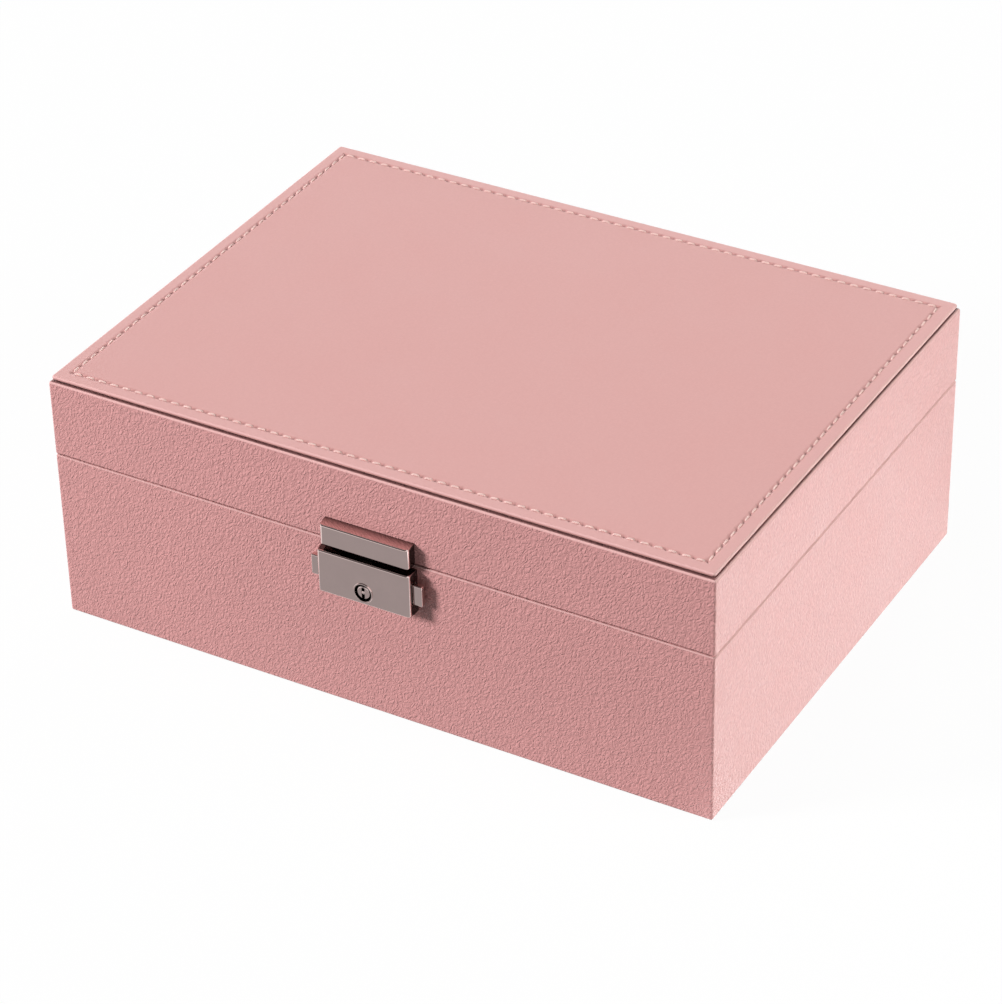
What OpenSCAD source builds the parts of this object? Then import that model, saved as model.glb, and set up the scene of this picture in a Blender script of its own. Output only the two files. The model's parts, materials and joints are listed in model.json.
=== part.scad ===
// Jewellery box with a hinged lid, a lift-out ring tray over a divided lower layer,
// and a squeeze lock with a key cylinder on its front.
// Millimetres. +Z is up, the front faces -Y, and the origin is the centre of the underside.

/* [Box] */
// Outside width of the box
box_w = 230; // [200:1:290]
// Outside depth of the box, front to back
box_d = 171; // [145:1:220]
// Height of the base, up to its rim
base_h = 59.45; // [56:0.05:80]
// Height of the lid's walls, from their rim to their covered top edge
lid_wall_h = 26.45; // [26:0.05:45]
// Gap between the two closed rims
seam_gap = 0.3; // [0.2:0.05:0.6]

/* [Boards and covers] */
// Thickness of the fibreboard panels
board_t = 3.5; // [2.8:0.1:5]
// Thickness of the synthetic leather
cover_t = 0.9; // [0.6:0.05:1.2]
// Thickness of the velvet lining
lining_t = 0.8; // [0.5:0.05:1.2]
// Height of the leather turned over a rim onto the inside
turn_in = 8; // [5:0.5:12]
// Width of the leather turned onto the base's underside and the lid's top board
turn_under = 12; // [6:0.5:20]
// How far the sheet on the underside stands below the leather turned under
foot_proud = 0.2; // [0.1:0.05:0.6]
// Distance of that sheet's edge from the outside of the box
foot_margin = 4; // [2:0.5:10]

/* [Stitched top panel] */
// Thickness of the panel, card and leather together
panel_t = 1.3; // [1.2:0.1:4]
// How far the panel's edge is set in from the walls
panel_inset = 0.4; // [0.2:0.1:2]
// Height of the groove under the panel's edge
panel_groove = 0.5; // [0.1:0.05:0.8]
// Distance of the stitched line from the panel's edge
stitch_inset = 5; // [4:0.1:12]
// Wanted length of one stitch, hole to hole
stitch_pitch = 4.45; // [3:0.05:8]
// Width of the sewing thread
thread_w = 0.8; // [0.5:0.05:1]
// Thickness of the sewing thread
thread_t = 0.5; // [0.3:0.05:0.7]
// Depth to which the stitching is sunk in the leather
stitch_sink = 0.45; // [0.3:0.05:0.5]

/* [Mirror] */
// Width of the mirror glass
mirror_w = 172; // [120:1:185]
// Depth of the mirror glass
mirror_d = 114; // [80:1:128]
// Thickness of the mirror glass
mirror_t = 2; // [1.5:0.1:3]
// Thickness of the lip that holds the mirror's edge
mirror_lip_t = 1; // [0.8:0.1:2]
// How far the lip laps over the glass
mirror_lap = 3; // [1:0.5:6]

/* [Tray] */
// Height of the tray
tray_h = 24.2; // [20:0.1:30]
// How far the tray's rim lies below the base's rim
tray_drop = 1.5; // [1:0.1:4]
// Thickness of the tray's walls and floor
tray_wall = 2.4; // [1.8:0.1:4]
// Gap between the tray and the walls round it
tray_gap = 1; // [0.8:0.1:2]
// Thickness of every divider
divider_t = 2; // [1.5:0.1:3]
// How far the tray's dividers stop below its rim
divider_drop = 2; // [1:0.5:5]
// Depth of the long bay at the front of the tray
front_bay_d = 50; // [35:1:70]
// Width of the ring column
ring_w = 72; // [55:1:90]
// Distance from one ring roll to the next
roll_pitch = 15; // [12:0.5:18]
// Height of a ring roll
roll_h = 17; // [12:0.5:18]
// How far a ring roll swells at its middle
roll_crown = 0.5; // [0.2:0.1:1]
// Width of a pull tab
tab_w = 14; // [8:1:25]
// Thickness of a pull tab's doubled ribbon
tab_t = 1; // [0.6:0.1:2]
// Height to which a pull tab stands above the tray's rim
tab_rise = 4.5; // [2:0.5:6]

/* [Lower layer] */
// Width of the ledge that carries the tray
ledge_w = 5; // [3:0.5:8]

/* [Lock] */
// Width of the lock's case
lock_w = 32.4; // [27:0.1:40]
// Height of the lock's case
lock_h = 15; // [12.5:0.1:18]
// Depth of the lock's case in front of the leather
lock_depth = 5.2; // [5:0.1:8]
// How far the top of the case lies below the base's rim
lock_drop = 1; // [0:0.1:2]
// Thickness of the case's walls
lock_wall = 1.2; // [0.8:0.1:1.5]
// Thickness of the plate behind the case
lock_back_t = 0.8; // [0.6:0.1:1]
// Width of the hasp on the lid
hasp_w = 31; // [26:0.1:36]
// Height of the hasp where it meets the lid
hasp_h = 7.5; // [7:0.1:10]
// Depth of the hasp in front of the leather
hasp_depth = 4.1; // [3.7:0.1:6]
// Fall of the hasp's top face towards the front
hasp_fall = 0.5; // [0:0.1:1.5]
// Height of the hasp's foot above the lid's rim
hasp_lift = 0.2; // [0.2:0.1:1]
// Radius of the key cylinder
plug_r = 2.84; // [2.2:0.02:3.4]
// Gap between the key cylinder and the floor of the case
key_lift = 0.2; // [0.1:0.05:1]
// How far a button stands out of the case
button_out = 3.2; // [3:0.1:5]
// Travel of a button
button_travel = 2.5; // [1.5:0.1:3]
// Height of a button
button_h = 7; // [5:0.1:8.4]
// Width of the tongue's head
tongue_head_w = 8; // [6:0.1:9.6]
// Distance of a hasp screw from the middle
hasp_screw_x = 10; // [8:0.5:12]
// Height of a prong that holds the case to the front board
prong_h = 4; // [2:0.5:6]
// Length of a prong's end, clinched behind the board
prong_l = 5; // [3:0.5:8]

/* [Hinges] */
// Distance of a hinge's middle from the side of the box
hinge_inset = 45; // [30:1:70]
// Length of a hinge
hinge_l = 26; // [20:1:40]
// Distance of a hinge screw from the end of its leaf
hinge_screw_inset = 4.5; // [3.5:0.1:6]
// Height of one hinge leaf's plate
leaf_h = 13; // [10:0.5:18]
// Thickness of a hinge leaf
leaf_t = 1; // [0.8:0.1:1.4]
// Outside radius of a hinge's barrel
barrel_r = 2; // [1.8:0.1:3]
// Radius of a hinge pin
pin_r = 1; // [0.8:0.05:1.2]
// Angle at which the hinge's heel stops the lid
lid_stop = 100; // [90:1:115]

/* [Hidden] */
$fn = 48;

// Clearances
seat_gap = 0.05;    // round a piece that is pressed or glued into its seat
run_gap = 0.06;     // round the key cylinder and in the lid's hinge knuckles
slide_gap = 0.25;   // between pieces that slide or swing past each other
lap_gap = 0.2;      // in the half-lap joints of the dividers
cut = 1;            // by which a cutting shape runs past the face that it cuts

// Colours
pink_leather = "#dcaaa6";
blush_velvet = "#d8b6b0";
board_brown = "#b08a5e";
thread_pink = "#f2cdc4";
nickel = "#a39b9b";
dark_steel = "#6d6a6a";
glass = "#cfd8dc";

// Levels of the base
board_z = cover_t + foot_proud;
wall_z = board_z + board_t;
floor_z = wall_z + lining_t;
rim_under_z = base_h - cover_t;

// Levels of the lid
lid_z = base_h + seam_gap;
lid_wall_z = lid_z + cover_t;
lid_top_z = lid_z + lid_wall_h;
lid_board_z = lid_top_z - cover_t - board_t;
panel_z = lid_top_z + panel_groove;
panel_top_z = panel_z + panel_t;
frame_z = lid_board_z - mirror_t - mirror_lip_t;

// Plans
front_y = -box_d / 2;
back_y = box_d / 2;
shell_w = box_w - 2 * cover_t;
shell_d = box_d - 2 * cover_t;
bare_w = shell_w - 2 * board_t;
bare_d = shell_d - 2 * board_t;
skin_t = max(cover_t, lining_t);
inner_w = bare_w - 2 * skin_t;
inner_d = bare_d - 2 * skin_t;
panel_w = box_w - 2 * panel_inset;
panel_d = box_d - 2 * panel_inset;

// Tray
tray_z = base_h - tray_drop - tray_h;
tray_floor_z = tray_z + tray_wall;
tray_rim_z = tray_z + tray_h;
tray_w = inner_w - 2 * tray_gap;
tray_d = inner_d - 2 * tray_gap;
tray_in_w = tray_w - 2 * tray_wall;
tray_in_d = tray_d - 2 * tray_wall;
divider_z = tray_rim_z - divider_drop;
ring_x = tray_in_w / 2 - ring_w;
roll_count = 6;
ring_back_y = -tray_in_d / 2 + roll_count * roll_pitch;
front_bay_y = -tray_in_d / 2 + front_bay_d;
rear_bay_y = front_bay_y + divider_t;
rear_mid_x = (-tray_in_w / 2 + ring_x - divider_t) / 2;
rear_mid_y = (rear_bay_y + tray_in_d / 2) / 2;

// Lower layer: two rows of three bays between the ledges
bays_w = bare_w - 2 * lining_t - 2 * ledge_w;
bays_d = bare_d - 2 * lining_t;
base_divider_z = tray_z - 0.5;
cross_x = bays_w / 6 + divider_t / 6;

// Lock: the tongue hangs between the two sliders' arms, which pass each other in their own layers
lock_top_z = base_h - lock_drop;
lock_z = lock_top_z - lock_h;
key_z = lock_z + lock_wall + key_lift + plug_r;
lock_front_y = front_y - lock_depth;
well_front_y = lock_front_y + lock_wall;
well_back_y = front_y - lock_back_t;
tongue_t = 1;
arm_t = (well_back_y - well_front_y - tongue_t - 4 * slide_gap) / 2;
left_arm_y = well_back_y - slide_gap - arm_t;
tongue_y = left_arm_y - slide_gap - tongue_t;
right_arm_y = well_front_y + slide_gap;
tongue_head_h = 1.2;
tongue_neck_w = tongue_head_w - 3.6;
tongue_root = 4;
tongue_foot_z = key_z + plug_r + slide_gap;
catch_z = tongue_foot_z + tongue_head_h + slide_gap;
catch_h = 1.2;
catch_x = tongue_head_w / 2 + 0.3;
catch_w = 1.2;
slider_x = catch_x + catch_w + 2 * button_travel + 0.4;
slider_out_x = lock_w / 2 - lock_wall - slide_gap;
slider_foot_z = lock_z + lock_wall + 1;
button_z = lock_z + (lock_h - button_h) / 2;
button_front_y = well_front_y + 0.8;
button_back_y = well_back_y - 0.6;
prong_z = lock_z + (lock_h - prong_h) / 2;
hasp_z = lid_z + hasp_lift;
hasp_screw_z = hasp_z + hasp_h / 2;
plug_tail_r = 1;
plug_lip_w = 0.5;
plug_lip_h = 0.25;
cam_reach = plug_r + slide_gap + tongue_head_h;
cam_t = arm_t;

// Button springs
spring_wire_r = 0.2;
spring_r = min(1.1, (well_back_y - button_front_y) / 2 - spring_wire_r - 0.1);
spring_turns = 4;
spring_rings = 8;
spring_sides = 6;
spring_post_x = cam_reach + 1.5;
spring_post_t = 1;
spring_z = slider_foot_z + spring_r + spring_wire_r + 0.1;
spring_y = (button_front_y + well_back_y) / 2;

// Screws: machine screws hold the hasp from inside the lid, wood screws hold the hinges
hasp_screw_r = 0.95;
hasp_screw_head_r = 1.9;
hasp_screw_head_h = 1.2;
hasp_screw_bite = 2.6;
hinge_screw_r = 0.9;
hinge_screw_head_r = 1.8;
hinge_screw_bite = 2.4;
hinge_screw_x = hinge_l / 2 - hinge_screw_inset;

// Hinges
axis_y = back_y + barrel_r + 0.3;
axis_z = base_h + seam_gap / 2;
leaf_edge = barrel_r + 0.3;
knuckle_gap = 0.3;
knuckle_l = 8;
heel_r = barrel_r + 1.6;
heel_t = 1.2;
hinge_xs = [-(box_w / 2 - hinge_inset), box_w / 2 - hinge_inset];

// Shared shapes

// A block between two values on each axis
module block(x, y, z) {
    translate([x[0], y[0], z[0]]) cube([x[1] - x[0], y[1] - y[0], z[1] - z[0]]);
}

// A sheet centred on the box, between two levels
module sheet(w, d, z) {
    block([-w / 2, w / 2], [-d / 2, d / 2], z);
}

// Four walls of one thickness, centred on the box, between two levels
module walls(w, d, t, z) {
    translate([0, 0, z[0]]) linear_extrude(z[1] - z[0]) difference() {
        square([w, d], center = true);
        square([w - 2 * t, d - 2 * t], center = true);
    }
}

// A round bar along Y, from one y to another
module bar_y(x, z, r, y) {
    translate([x, y[0], z]) rotate([-90, 0, 0]) cylinder(r = r, h = y[1] - y[0]);
}

// A round bar along X, centred on the hinge axis
module axle(r, x) {
    translate([x[0], axis_y, axis_z]) rotate([0, 90, 0]) cylinder(r = r, h = x[1] - x[0]);
}

// A slot cut in a divider for the one that crosses it
module lap_slot(x, y, z) {
    block([x[0] - lap_gap, x[1] + lap_gap], [y[0] - lap_gap, y[1] + lap_gap], z);
}

// Boards

// The panel across the front (side -1) or the back (side 1)
module cross_panel(side, z) {
    outer = side * shell_d / 2;
    inner = side * bare_d / 2;
    block([-shell_w / 2, shell_w / 2], [min(outer, inner), max(outer, inner)], z);
}

// The panel on the left (side -1) or the right (side 1), between the front and the back
module side_panel(side, z) {
    outer = side * shell_w / 2;
    inner = side * bare_w / 2;
    block([min(outer, inner), max(outer, inner)], [-bare_d / 2, bare_d / 2], z);
}

// Holes from the inside of the lid's front panel for the hasp's screws and their heads
module hasp_screw_holes() {
    for (x = [-hasp_screw_x, hasp_screw_x]) {
        bar_y(x, hasp_screw_z, hasp_screw_r + seat_gap, [front_y - cut, board_in_y + cut]);
        bar_y(x, hasp_screw_z, hasp_screw_head_r + 0.2, [head_seat_y, board_in_y + cut]);
    }
}

// The inner face of the front boards, and where a hasp screw's head sits in it
board_in_y = front_y + cover_t + board_t;
head_seat_y = board_in_y - hasp_screw_head_h - 0.1;

// The prongs of the lock's case, through the leather and the board and clinched behind them
module lock_prongs(gap) {
    z = [prong_z - gap, prong_z + prong_h + gap];
    out_x = lock_w / 2 + gap;
    for (side = [-1, 1]) mirror([side > 0 ? 0 : 1, 0, 0]) {
        block([lock_w / 2 - lock_wall - gap, out_x], [front_y - lock_back_t, board_in_y], z);
        block([lock_w / 2 - prong_l - gap, out_x], [board_in_y - lock_wall - gap, board_in_y], z);
    }
}

// Holes in the back for the wood screws of one leaf: side -1 below the axis, side 1 above it
module hinge_screw_holes(side) {
    for (x = hinge_xs, dx = [-hinge_screw_x, hinge_screw_x])
        bar_y(x + dx, leaf_screw_z(side), hinge_screw_r + seat_gap,
              [hinge_screw_tip_y() - seat_gap, back_y + cut]);
}

function leaf_screw_z(side) = axis_z + side * (leaf_edge + leaf_h / 2);
function hinge_screw_tip_y() = back_y - cover_t - hinge_screw_bite;

module base_board() {
    color(board_brown) sheet(shell_w, shell_d, [board_z, wall_z]);
}

module base_front_panel() {
    color(board_brown) difference() {
        cross_panel(-1, [wall_z, rim_under_z]);
        lock_prongs(seat_gap);
    }
}

module base_back_panel() {
    color(board_brown) difference() {
        cross_panel(1, [wall_z, rim_under_z]);
        hinge_screw_holes(-1);
    }
}

module base_side_panel(side) {
    color(board_brown) side_panel(side, [wall_z, rim_under_z]);
}

module lid_front_panel() {
    color(board_brown) difference() {
        cross_panel(-1, [lid_wall_z, lid_board_z]);
        hasp_screw_holes();
    }
}

module lid_back_panel() {
    color(board_brown) difference() {
        cross_panel(1, [lid_wall_z, lid_board_z]);
        hinge_screw_holes(1);
    }
}

module lid_side_panel(side) {
    color(board_brown) side_panel(side, [lid_wall_z, lid_board_z]);
}

module lid_top_board() {
    color(board_brown) sheet(shell_w, shell_d, [lid_board_z, lid_board_z + board_t]);
}

// Leather and velvet

// The leather of the base: outside, over the rim, down inside it and under the board
module base_cover() {
    under_z = board_z - cover_t;
    color(pink_leather) difference() {
        union() {
            walls(box_w, box_d, cover_t, [under_z, base_h]);
            walls(box_w, box_d, cover_t + board_t + cover_t, [rim_under_z, base_h]);
            walls(bare_w, bare_d, cover_t, [base_h - turn_in, base_h]);
            walls(box_w, box_d, cover_t + turn_under, [under_z, board_z]);
        }
        lock_prongs(seat_gap);
        hinge_screw_holes(-1);
    }
}

// The leather of the lid: outside, under the rim, up inside it and over the top board
module lid_cover() {
    color(pink_leather) difference() {
        union() {
            walls(box_w, box_d, cover_t, [lid_z, lid_top_z]);
            walls(box_w, box_d, cover_t + board_t + cover_t, [lid_z, lid_wall_z]);
            walls(bare_w, bare_d, cover_t, [lid_z, lid_z + turn_in]);
            walls(box_w, box_d, cover_t + turn_under, [lid_top_z - cover_t, lid_top_z]);
        }
        for (x = [-hasp_screw_x, hasp_screw_x])
            bar_y(x, hasp_screw_z, hasp_screw_r + seat_gap, [front_y - cut, front_y + cover_t + cut]);
        hinge_screw_holes(1);
    }
}

module foot_sheet() {
    margin = cover_t + turn_under + seat_gap;
    color(blush_velvet) union() {
        sheet(box_w - 2 * margin, box_d - 2 * margin, [0, board_z]);
        sheet(box_w - 2 * foot_margin, box_d - 2 * foot_margin, [0, foot_proud]);
    }
}

module base_lining() {
    color(blush_velvet) union() {
        walls(bare_w, bare_d, lining_t, [wall_z, base_h - turn_in]);
        sheet(bare_w, bare_d, [wall_z, floor_z]);
    }
}

module lid_lining() {
    color(blush_velvet) walls(bare_w, bare_d, lining_t, [lid_z + turn_in, lid_board_z]);
}

// Stitched top panel

module top_card() {
    opening = 2 * (cover_t + turn_under + seat_gap);
    color(board_brown) union() {
        sheet(box_w - opening, box_d - opening, [lid_board_z + board_t, panel_z]);
        sheet(panel_w - 2 * cover_t, panel_d - 2 * cover_t, [panel_z, panel_top_z - cover_t]);
    }
}

// The size of the rectangle along the middle of the stitches
stitch_w = panel_w - 2 * stitch_inset;
stitch_d = panel_d - 2 * stitch_inset;
stitch_channel = thread_w + 0.2;

module top_cover() {
    color(pink_leather) difference() {
        sheet(panel_w, panel_d, [panel_z, panel_top_z]);
        sheet(panel_w - 2 * cover_t, panel_d - 2 * cover_t, [panel_z - cut, panel_top_z - cover_t]);
        walls(stitch_w + stitch_channel, stitch_d + stitch_channel, stitch_channel,
              [panel_top_z - stitch_sink, panel_top_z + cut]);
    }
}

// The upper edge of a thread that rises for each stitch and dips at each hole
function thread_edge(length, low, high) =
    let (count = floor(length / stitch_pitch), step = length / count, ramp = step / 6)
    concat([for (i = [0:count - 1])
                each [[i * step, low], [i * step + ramp, high], [(i + 1) * step - ramp, high]]],
           [[length, low]]);

// One straight run of stitches along X, from the origin
module stitch_run(length) {
    low = panel_top_z - stitch_sink + thread_t;
    high = panel_top_z + thread_t / 2;
    top = thread_edge(length, low, high);
    under = [for (i = [len(top) - 1:-1:0]) [top[i][0], top[i][1] - thread_t]];
    translate([0, thread_w / 2, 0]) rotate([90, 0, 0])
        linear_extrude(thread_w) polygon(concat(top, under));
}

module top_stitching() {
    side_run = stitch_d - 2 * thread_w;
    color(thread_pink) for (side = [-1, 1]) {
        translate([-stitch_w / 2, side * stitch_d / 2, 0]) stitch_run(stitch_w);
        translate([side * stitch_w / 2, -side_run / 2, 0]) rotate([0, 0, 90]) stitch_run(side_run);
    }
}

// Mirror in the lid

module mirror_glass() {
    color(glass) sheet(mirror_w, mirror_d, [lid_board_z - mirror_t, lid_board_z]);
}

module mirror_frame() {
    frame_w = bare_w - 2 * skin_t - 2 * seat_gap;
    frame_d = bare_d - 2 * skin_t - 2 * seat_gap;
    color(blush_velvet) difference() {
        sheet(frame_w, frame_d, [frame_z, lid_board_z]);
        sheet(mirror_w + 2 * seat_gap, mirror_d + 2 * seat_gap,
              [lid_board_z - mirror_t - seat_gap, lid_board_z + cut]);
        sheet(mirror_w - 2 * mirror_lap, mirror_d - 2 * mirror_lap, [frame_z - cut, lid_board_z]);
    }
}

// Lower layer

module tray_ledges() {
    color(blush_velvet) for (side = [-1, 1])
        block(side > 0 ? [bays_w / 2, bays_w / 2 + ledge_w] : [-bays_w / 2 - ledge_w, -bays_w / 2],
              [-bays_d / 2, bays_d / 2], [floor_z, tray_z]);
}

// The level at which crossing dividers of the lower layer are slotted into each other
base_lap_z = (floor_z + base_divider_z) / 2;

module base_divider_long() {
    half = divider_t / 2;
    color(blush_velvet) difference() {
        block([-bays_w / 2, bays_w / 2], [-half, half], [floor_z, base_divider_z]);
        for (x = [-cross_x, cross_x])
            lap_slot([x - half, x + half], [-half - cut, half + cut], [base_lap_z, base_divider_z + cut]);
    }
}

module base_dividers_cross() {
    half = divider_t / 2;
    color(blush_velvet) for (x = [-cross_x, cross_x]) difference() {
        block([x - half, x + half], [-bays_d / 2, bays_d / 2], [floor_z, base_divider_z]);
        lap_slot([x - half - cut, x + half + cut], [-half, half], [floor_z - cut, base_lap_z + lap_gap]);
    }
}

// Tray

module tray_floor() {
    color(blush_velvet) sheet(tray_w, tray_d, [tray_z, tray_floor_z]);
}

module tray_cross_wall(side) {
    outer = side * tray_d / 2;
    inner = side * tray_in_d / 2;
    color(blush_velvet) block([-tray_w / 2, tray_w / 2], [min(outer, inner), max(outer, inner)],
                              [tray_floor_z, tray_rim_z]);
}

module tray_side_wall(side) {
    outer = side * tray_w / 2;
    inner = side * tray_in_w / 2;
    color(blush_velvet) block([min(outer, inner), max(outer, inner)], [-tray_in_d / 2, tray_in_d / 2],
                              [tray_floor_z, tray_rim_z]);
}

module tray_divider(x, y) {
    color(blush_velvet) block(x, y, [tray_floor_z, divider_z]);
}

// The wall between the bays on the left and the ring column on the right
module tray_divider_ring() {
    tray_divider([ring_x - divider_t, ring_x], [-tray_in_d / 2, tray_in_d / 2]);
}

module tray_divider_ring_back() {
    tray_divider([ring_x, tray_in_w / 2], [ring_back_y, ring_back_y + divider_t]);
}

module tray_divider_front() {
    tray_divider([-tray_in_w / 2, ring_x - divider_t], [front_bay_y, rear_bay_y]);
}

// The level at which the two rear dividers are slotted into each other
tray_lap_z = (tray_floor_z + divider_z) / 2;

module tray_divider_rear_long() {
    half = divider_t / 2;
    difference() {
        tray_divider([-tray_in_w / 2, ring_x - divider_t], [rear_mid_y - half, rear_mid_y + half]);
        lap_slot([rear_mid_x - half, rear_mid_x + half], [rear_mid_y - half - cut, rear_mid_y + half + cut],
                 [tray_lap_z, divider_z + cut]);
    }
}

module tray_divider_rear_cross() {
    half = divider_t / 2;
    difference() {
        tray_divider([rear_mid_x - half, rear_mid_x + half], [rear_bay_y, tray_in_d / 2]);
        lap_slot([rear_mid_x - half - cut, rear_mid_x + half + cut], [rear_mid_y - half, rear_mid_y + half],
                 [tray_floor_z - cut, tray_lap_z + lap_gap]);
    }
}

// A foam ring roll, swollen at its middle, on a narrower foot
module ring_roll(number) {
    length = ring_w - 2 * slide_gap;
    swell_r = roll_pitch / 2 - slide_gap / 2;
    end_r = swell_r - roll_crown;
    foot_w = 2 * end_r - 1;
    axis_h = roll_h - swell_r;
    steps = 8;
    radius = function (t) end_r + roll_crown * (1 - pow(2 * t - 1, 2));
    side = [for (i = [0:steps]) [radius(i / steps), length * i / steps]];
    outline = concat([[0, 0]], side, [[0, length]]);
    color(blush_velvet)
        translate([ring_x + slide_gap, -tray_in_d / 2 + (number - 0.5) * roll_pitch, tray_floor_z]) {
            translate([0, 0, axis_h]) rotate([0, 90, 0]) rotate_extrude() polygon(outline);
            translate([0, -foot_w / 2, 0]) cube([length, foot_w, axis_h]);
        }
}

// Ribbon tabs that stand up against the middle of the tray's front and back walls
module tray_pull_tabs() {
    tab_x = [-tab_w / 2, tab_w / 2];
    tab_z = [tray_floor_z, tray_rim_z + tab_rise];
    color(pink_leather) {
        block(tab_x, [-tray_in_d / 2, -tray_in_d / 2 + tab_t], tab_z);
        block(tab_x, [tray_in_d / 2 - tab_t, tray_in_d / 2], tab_z);
    }
}

// Lock on the base

module lock_case() {
    color(nickel) difference() {
        union() {
            difference() {
                block([-lock_w / 2, lock_w / 2], [lock_front_y, front_y], [lock_z, lock_top_z]);
                block([-lock_w / 2 + lock_wall, lock_w / 2 - lock_wall], [well_front_y, front_y + cut],
                      [lock_z + lock_wall, lock_top_z - lock_wall]);
            }
            bar_y(0, key_z, plug_r + run_gap + plug_lip_w, [lock_front_y - plug_lip_h, well_front_y]);
            lock_prongs(0);
        }
        bar_y(0, key_z, plug_r + run_gap, [lock_front_y - plug_lip_h - cut, well_front_y + cut]);
        block([-tongue_head_w / 2 - 0.4, tongue_head_w / 2 + 0.4],
              [tongue_y - 0.4, tongue_y + tongue_t + 0.4],
              [lock_top_z - lock_wall - cut, lock_top_z + cut]);
        for (side = [-1, 1])
            block(side > 0 ? [slider_out_x, lock_w / 2 + cut] : [-lock_w / 2 - cut, -slider_out_x],
                  [button_front_y - slide_gap, button_back_y + slide_gap],
                  [button_z - slide_gap, button_z + button_h + slide_gap]);
    }
}

// The plate behind the case, with the posts that the button springs push against
module lock_backplate() {
    w = lock_w - 2 * lock_wall - 2 * seat_gap;
    color(dark_steel) difference() {
        union() {
            block([-w / 2, w / 2], [well_back_y, front_y],
                  [lock_z + lock_wall + seat_gap, lock_top_z - lock_wall - seat_gap]);
            for (side = [-1, 1])
                translate([side * (spring_post_x + spring_post_t / 2) - spring_post_t / 2, 0, 0])
                    block([0, spring_post_t], [spring_y - spring_r, well_back_y],
                          [spring_z - spring_r, spring_z + spring_r]);
        }
        bar_y(0, key_z, plug_tail_r + run_gap, [well_back_y - cut, front_y + cut]);
    }
}

// The key cylinder: a stepped plug with a keyway and a centre pin, which turns in the case
module lock_plug() {
    face_y = lock_front_y + 0.2;
    step_y = lock_front_y + lock_wall * 0.7;
    face_r = plug_r - 0.45;
    keyway_w = 1.1;
    keyway_deep = 1.6;
    pin_r = 0.6;
    color(nickel) union() {
        difference() {
            union() {
                bar_y(0, key_z, face_r, [face_y, step_y]);
                bar_y(0, key_z, plug_r, [step_y, cam_y()]);
            }
            block([-keyway_w / 2, keyway_w / 2], [face_y - cut, face_y + keyway_deep],
                  [key_z - face_r * 0.8, key_z + face_r * 0.8]);
        }
        bar_y(0, key_z, pin_r, [face_y, step_y + keyway_deep]);
        bar_y(0, key_z, plug_tail_r, [cam_y() - cut, front_y - 0.1]);
    }
}

// Where the cam starts on the plug
function cam_y() = well_back_y - slide_gap - cam_t;

// The cam on the plug's tail, lying to the right when the box is unlocked
module lock_cam() {
    arm_h = 2;
    color(dark_steel) difference() {
        union() {
            bar_y(0, key_z, 2, [cam_y(), cam_y() + cam_t]);
            block([0, cam_reach], [cam_y(), cam_y() + cam_t], [key_z - arm_h / 2, key_z + arm_h / 2]);
        }
        bar_y(0, key_z, plug_tail_r + seat_gap, [cam_y() - cut, cam_y() + cam_t + cut]);
    }
}

// A button and its slider, drawn for the left side (pointing -X) with its arm starting at arm_y
module button(arm_y) {
    button_y = [button_front_y, button_back_y];
    button_zs = [button_z, button_z + button_h];
    slider_top_z = catch_z + catch_h;
    catch_from_y = min(arm_y, tongue_y);
    catch_to_y = max(arm_y + arm_t, tongue_y + tongue_t);
    block([-lock_w / 2 - button_out, -slider_out_x + 0.5], button_y, button_zs);
    block([-slider_out_x, -slider_x], button_y, [slider_foot_z, slider_top_z]);
    block([-slider_x - 1, catch_x + catch_w], [arm_y, arm_y + arm_t], [catch_z, slider_top_z]);
    block([-slider_x - 1, -slider_x], [min(arm_y, button_y[0]), max(arm_y + arm_t, button_y[1])],
          [catch_z, slider_top_z]);
    block([catch_x, catch_x + catch_w], [catch_from_y, catch_to_y], [catch_z, slider_top_z]);
}

module button_left() {
    color(nickel) union() button(left_arm_y);
}

module button_right() {
    color(nickel) mirror([1, 0, 0]) union() button(right_arm_y);
}

// The points along the middle of a button spring's wire
function spring_path(length) =
    [for (i = [0:spring_turns * spring_rings])
         let (a = 360 * i / spring_rings)
         [length * i / (spring_turns * spring_rings), spring_r * cos(a), spring_r * sin(a)]];

// A coil spring along X from the origin, swept as one tube
module coil_spring(length) {
    path = spring_path(length);
    count = len(path);
    points = [for (i = [0:count - 1], s = [0:spring_sides - 1])
                  let (a = 360 * i / spring_rings, b = 360 * s / spring_sides,
                       out = spring_wire_r * cos(b), along = spring_wire_r * sin(b))
                  path[i] + [along, out * cos(a), out * sin(a)]];
    sides = [for (i = [0:count - 2], s = [0:spring_sides - 1])
                 let (n = (s + 1) % spring_sides, a = i * spring_sides, b = a + spring_sides)
                 each [[a + s, a + n, b + n], [a + s, b + n, b + s]]];
    first_cap = [for (s = [1:spring_sides - 2]) [0, s + 1, s]];
    last = (count - 1) * spring_sides;
    last_cap = [for (s = [1:spring_sides - 2]) [last, last + s, last + s + 1]];
    polyhedron(points, concat(sides, first_cap, last_cap));
}

spring_from_x = spring_post_x + spring_post_t + spring_wire_r + 0.1;
spring_l = slider_x - spring_wire_r - 0.1 - spring_from_x;
echo(least_gap_between_spring_turns = spring_l / spring_turns - 2 * spring_wire_r);

module button_spring(side) {
    color(dark_steel) translate([side > 0 ? spring_from_x : -spring_from_x - spring_l, spring_y, spring_z])
        coil_spring(spring_l);
}

// Hasp on the lid

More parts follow.
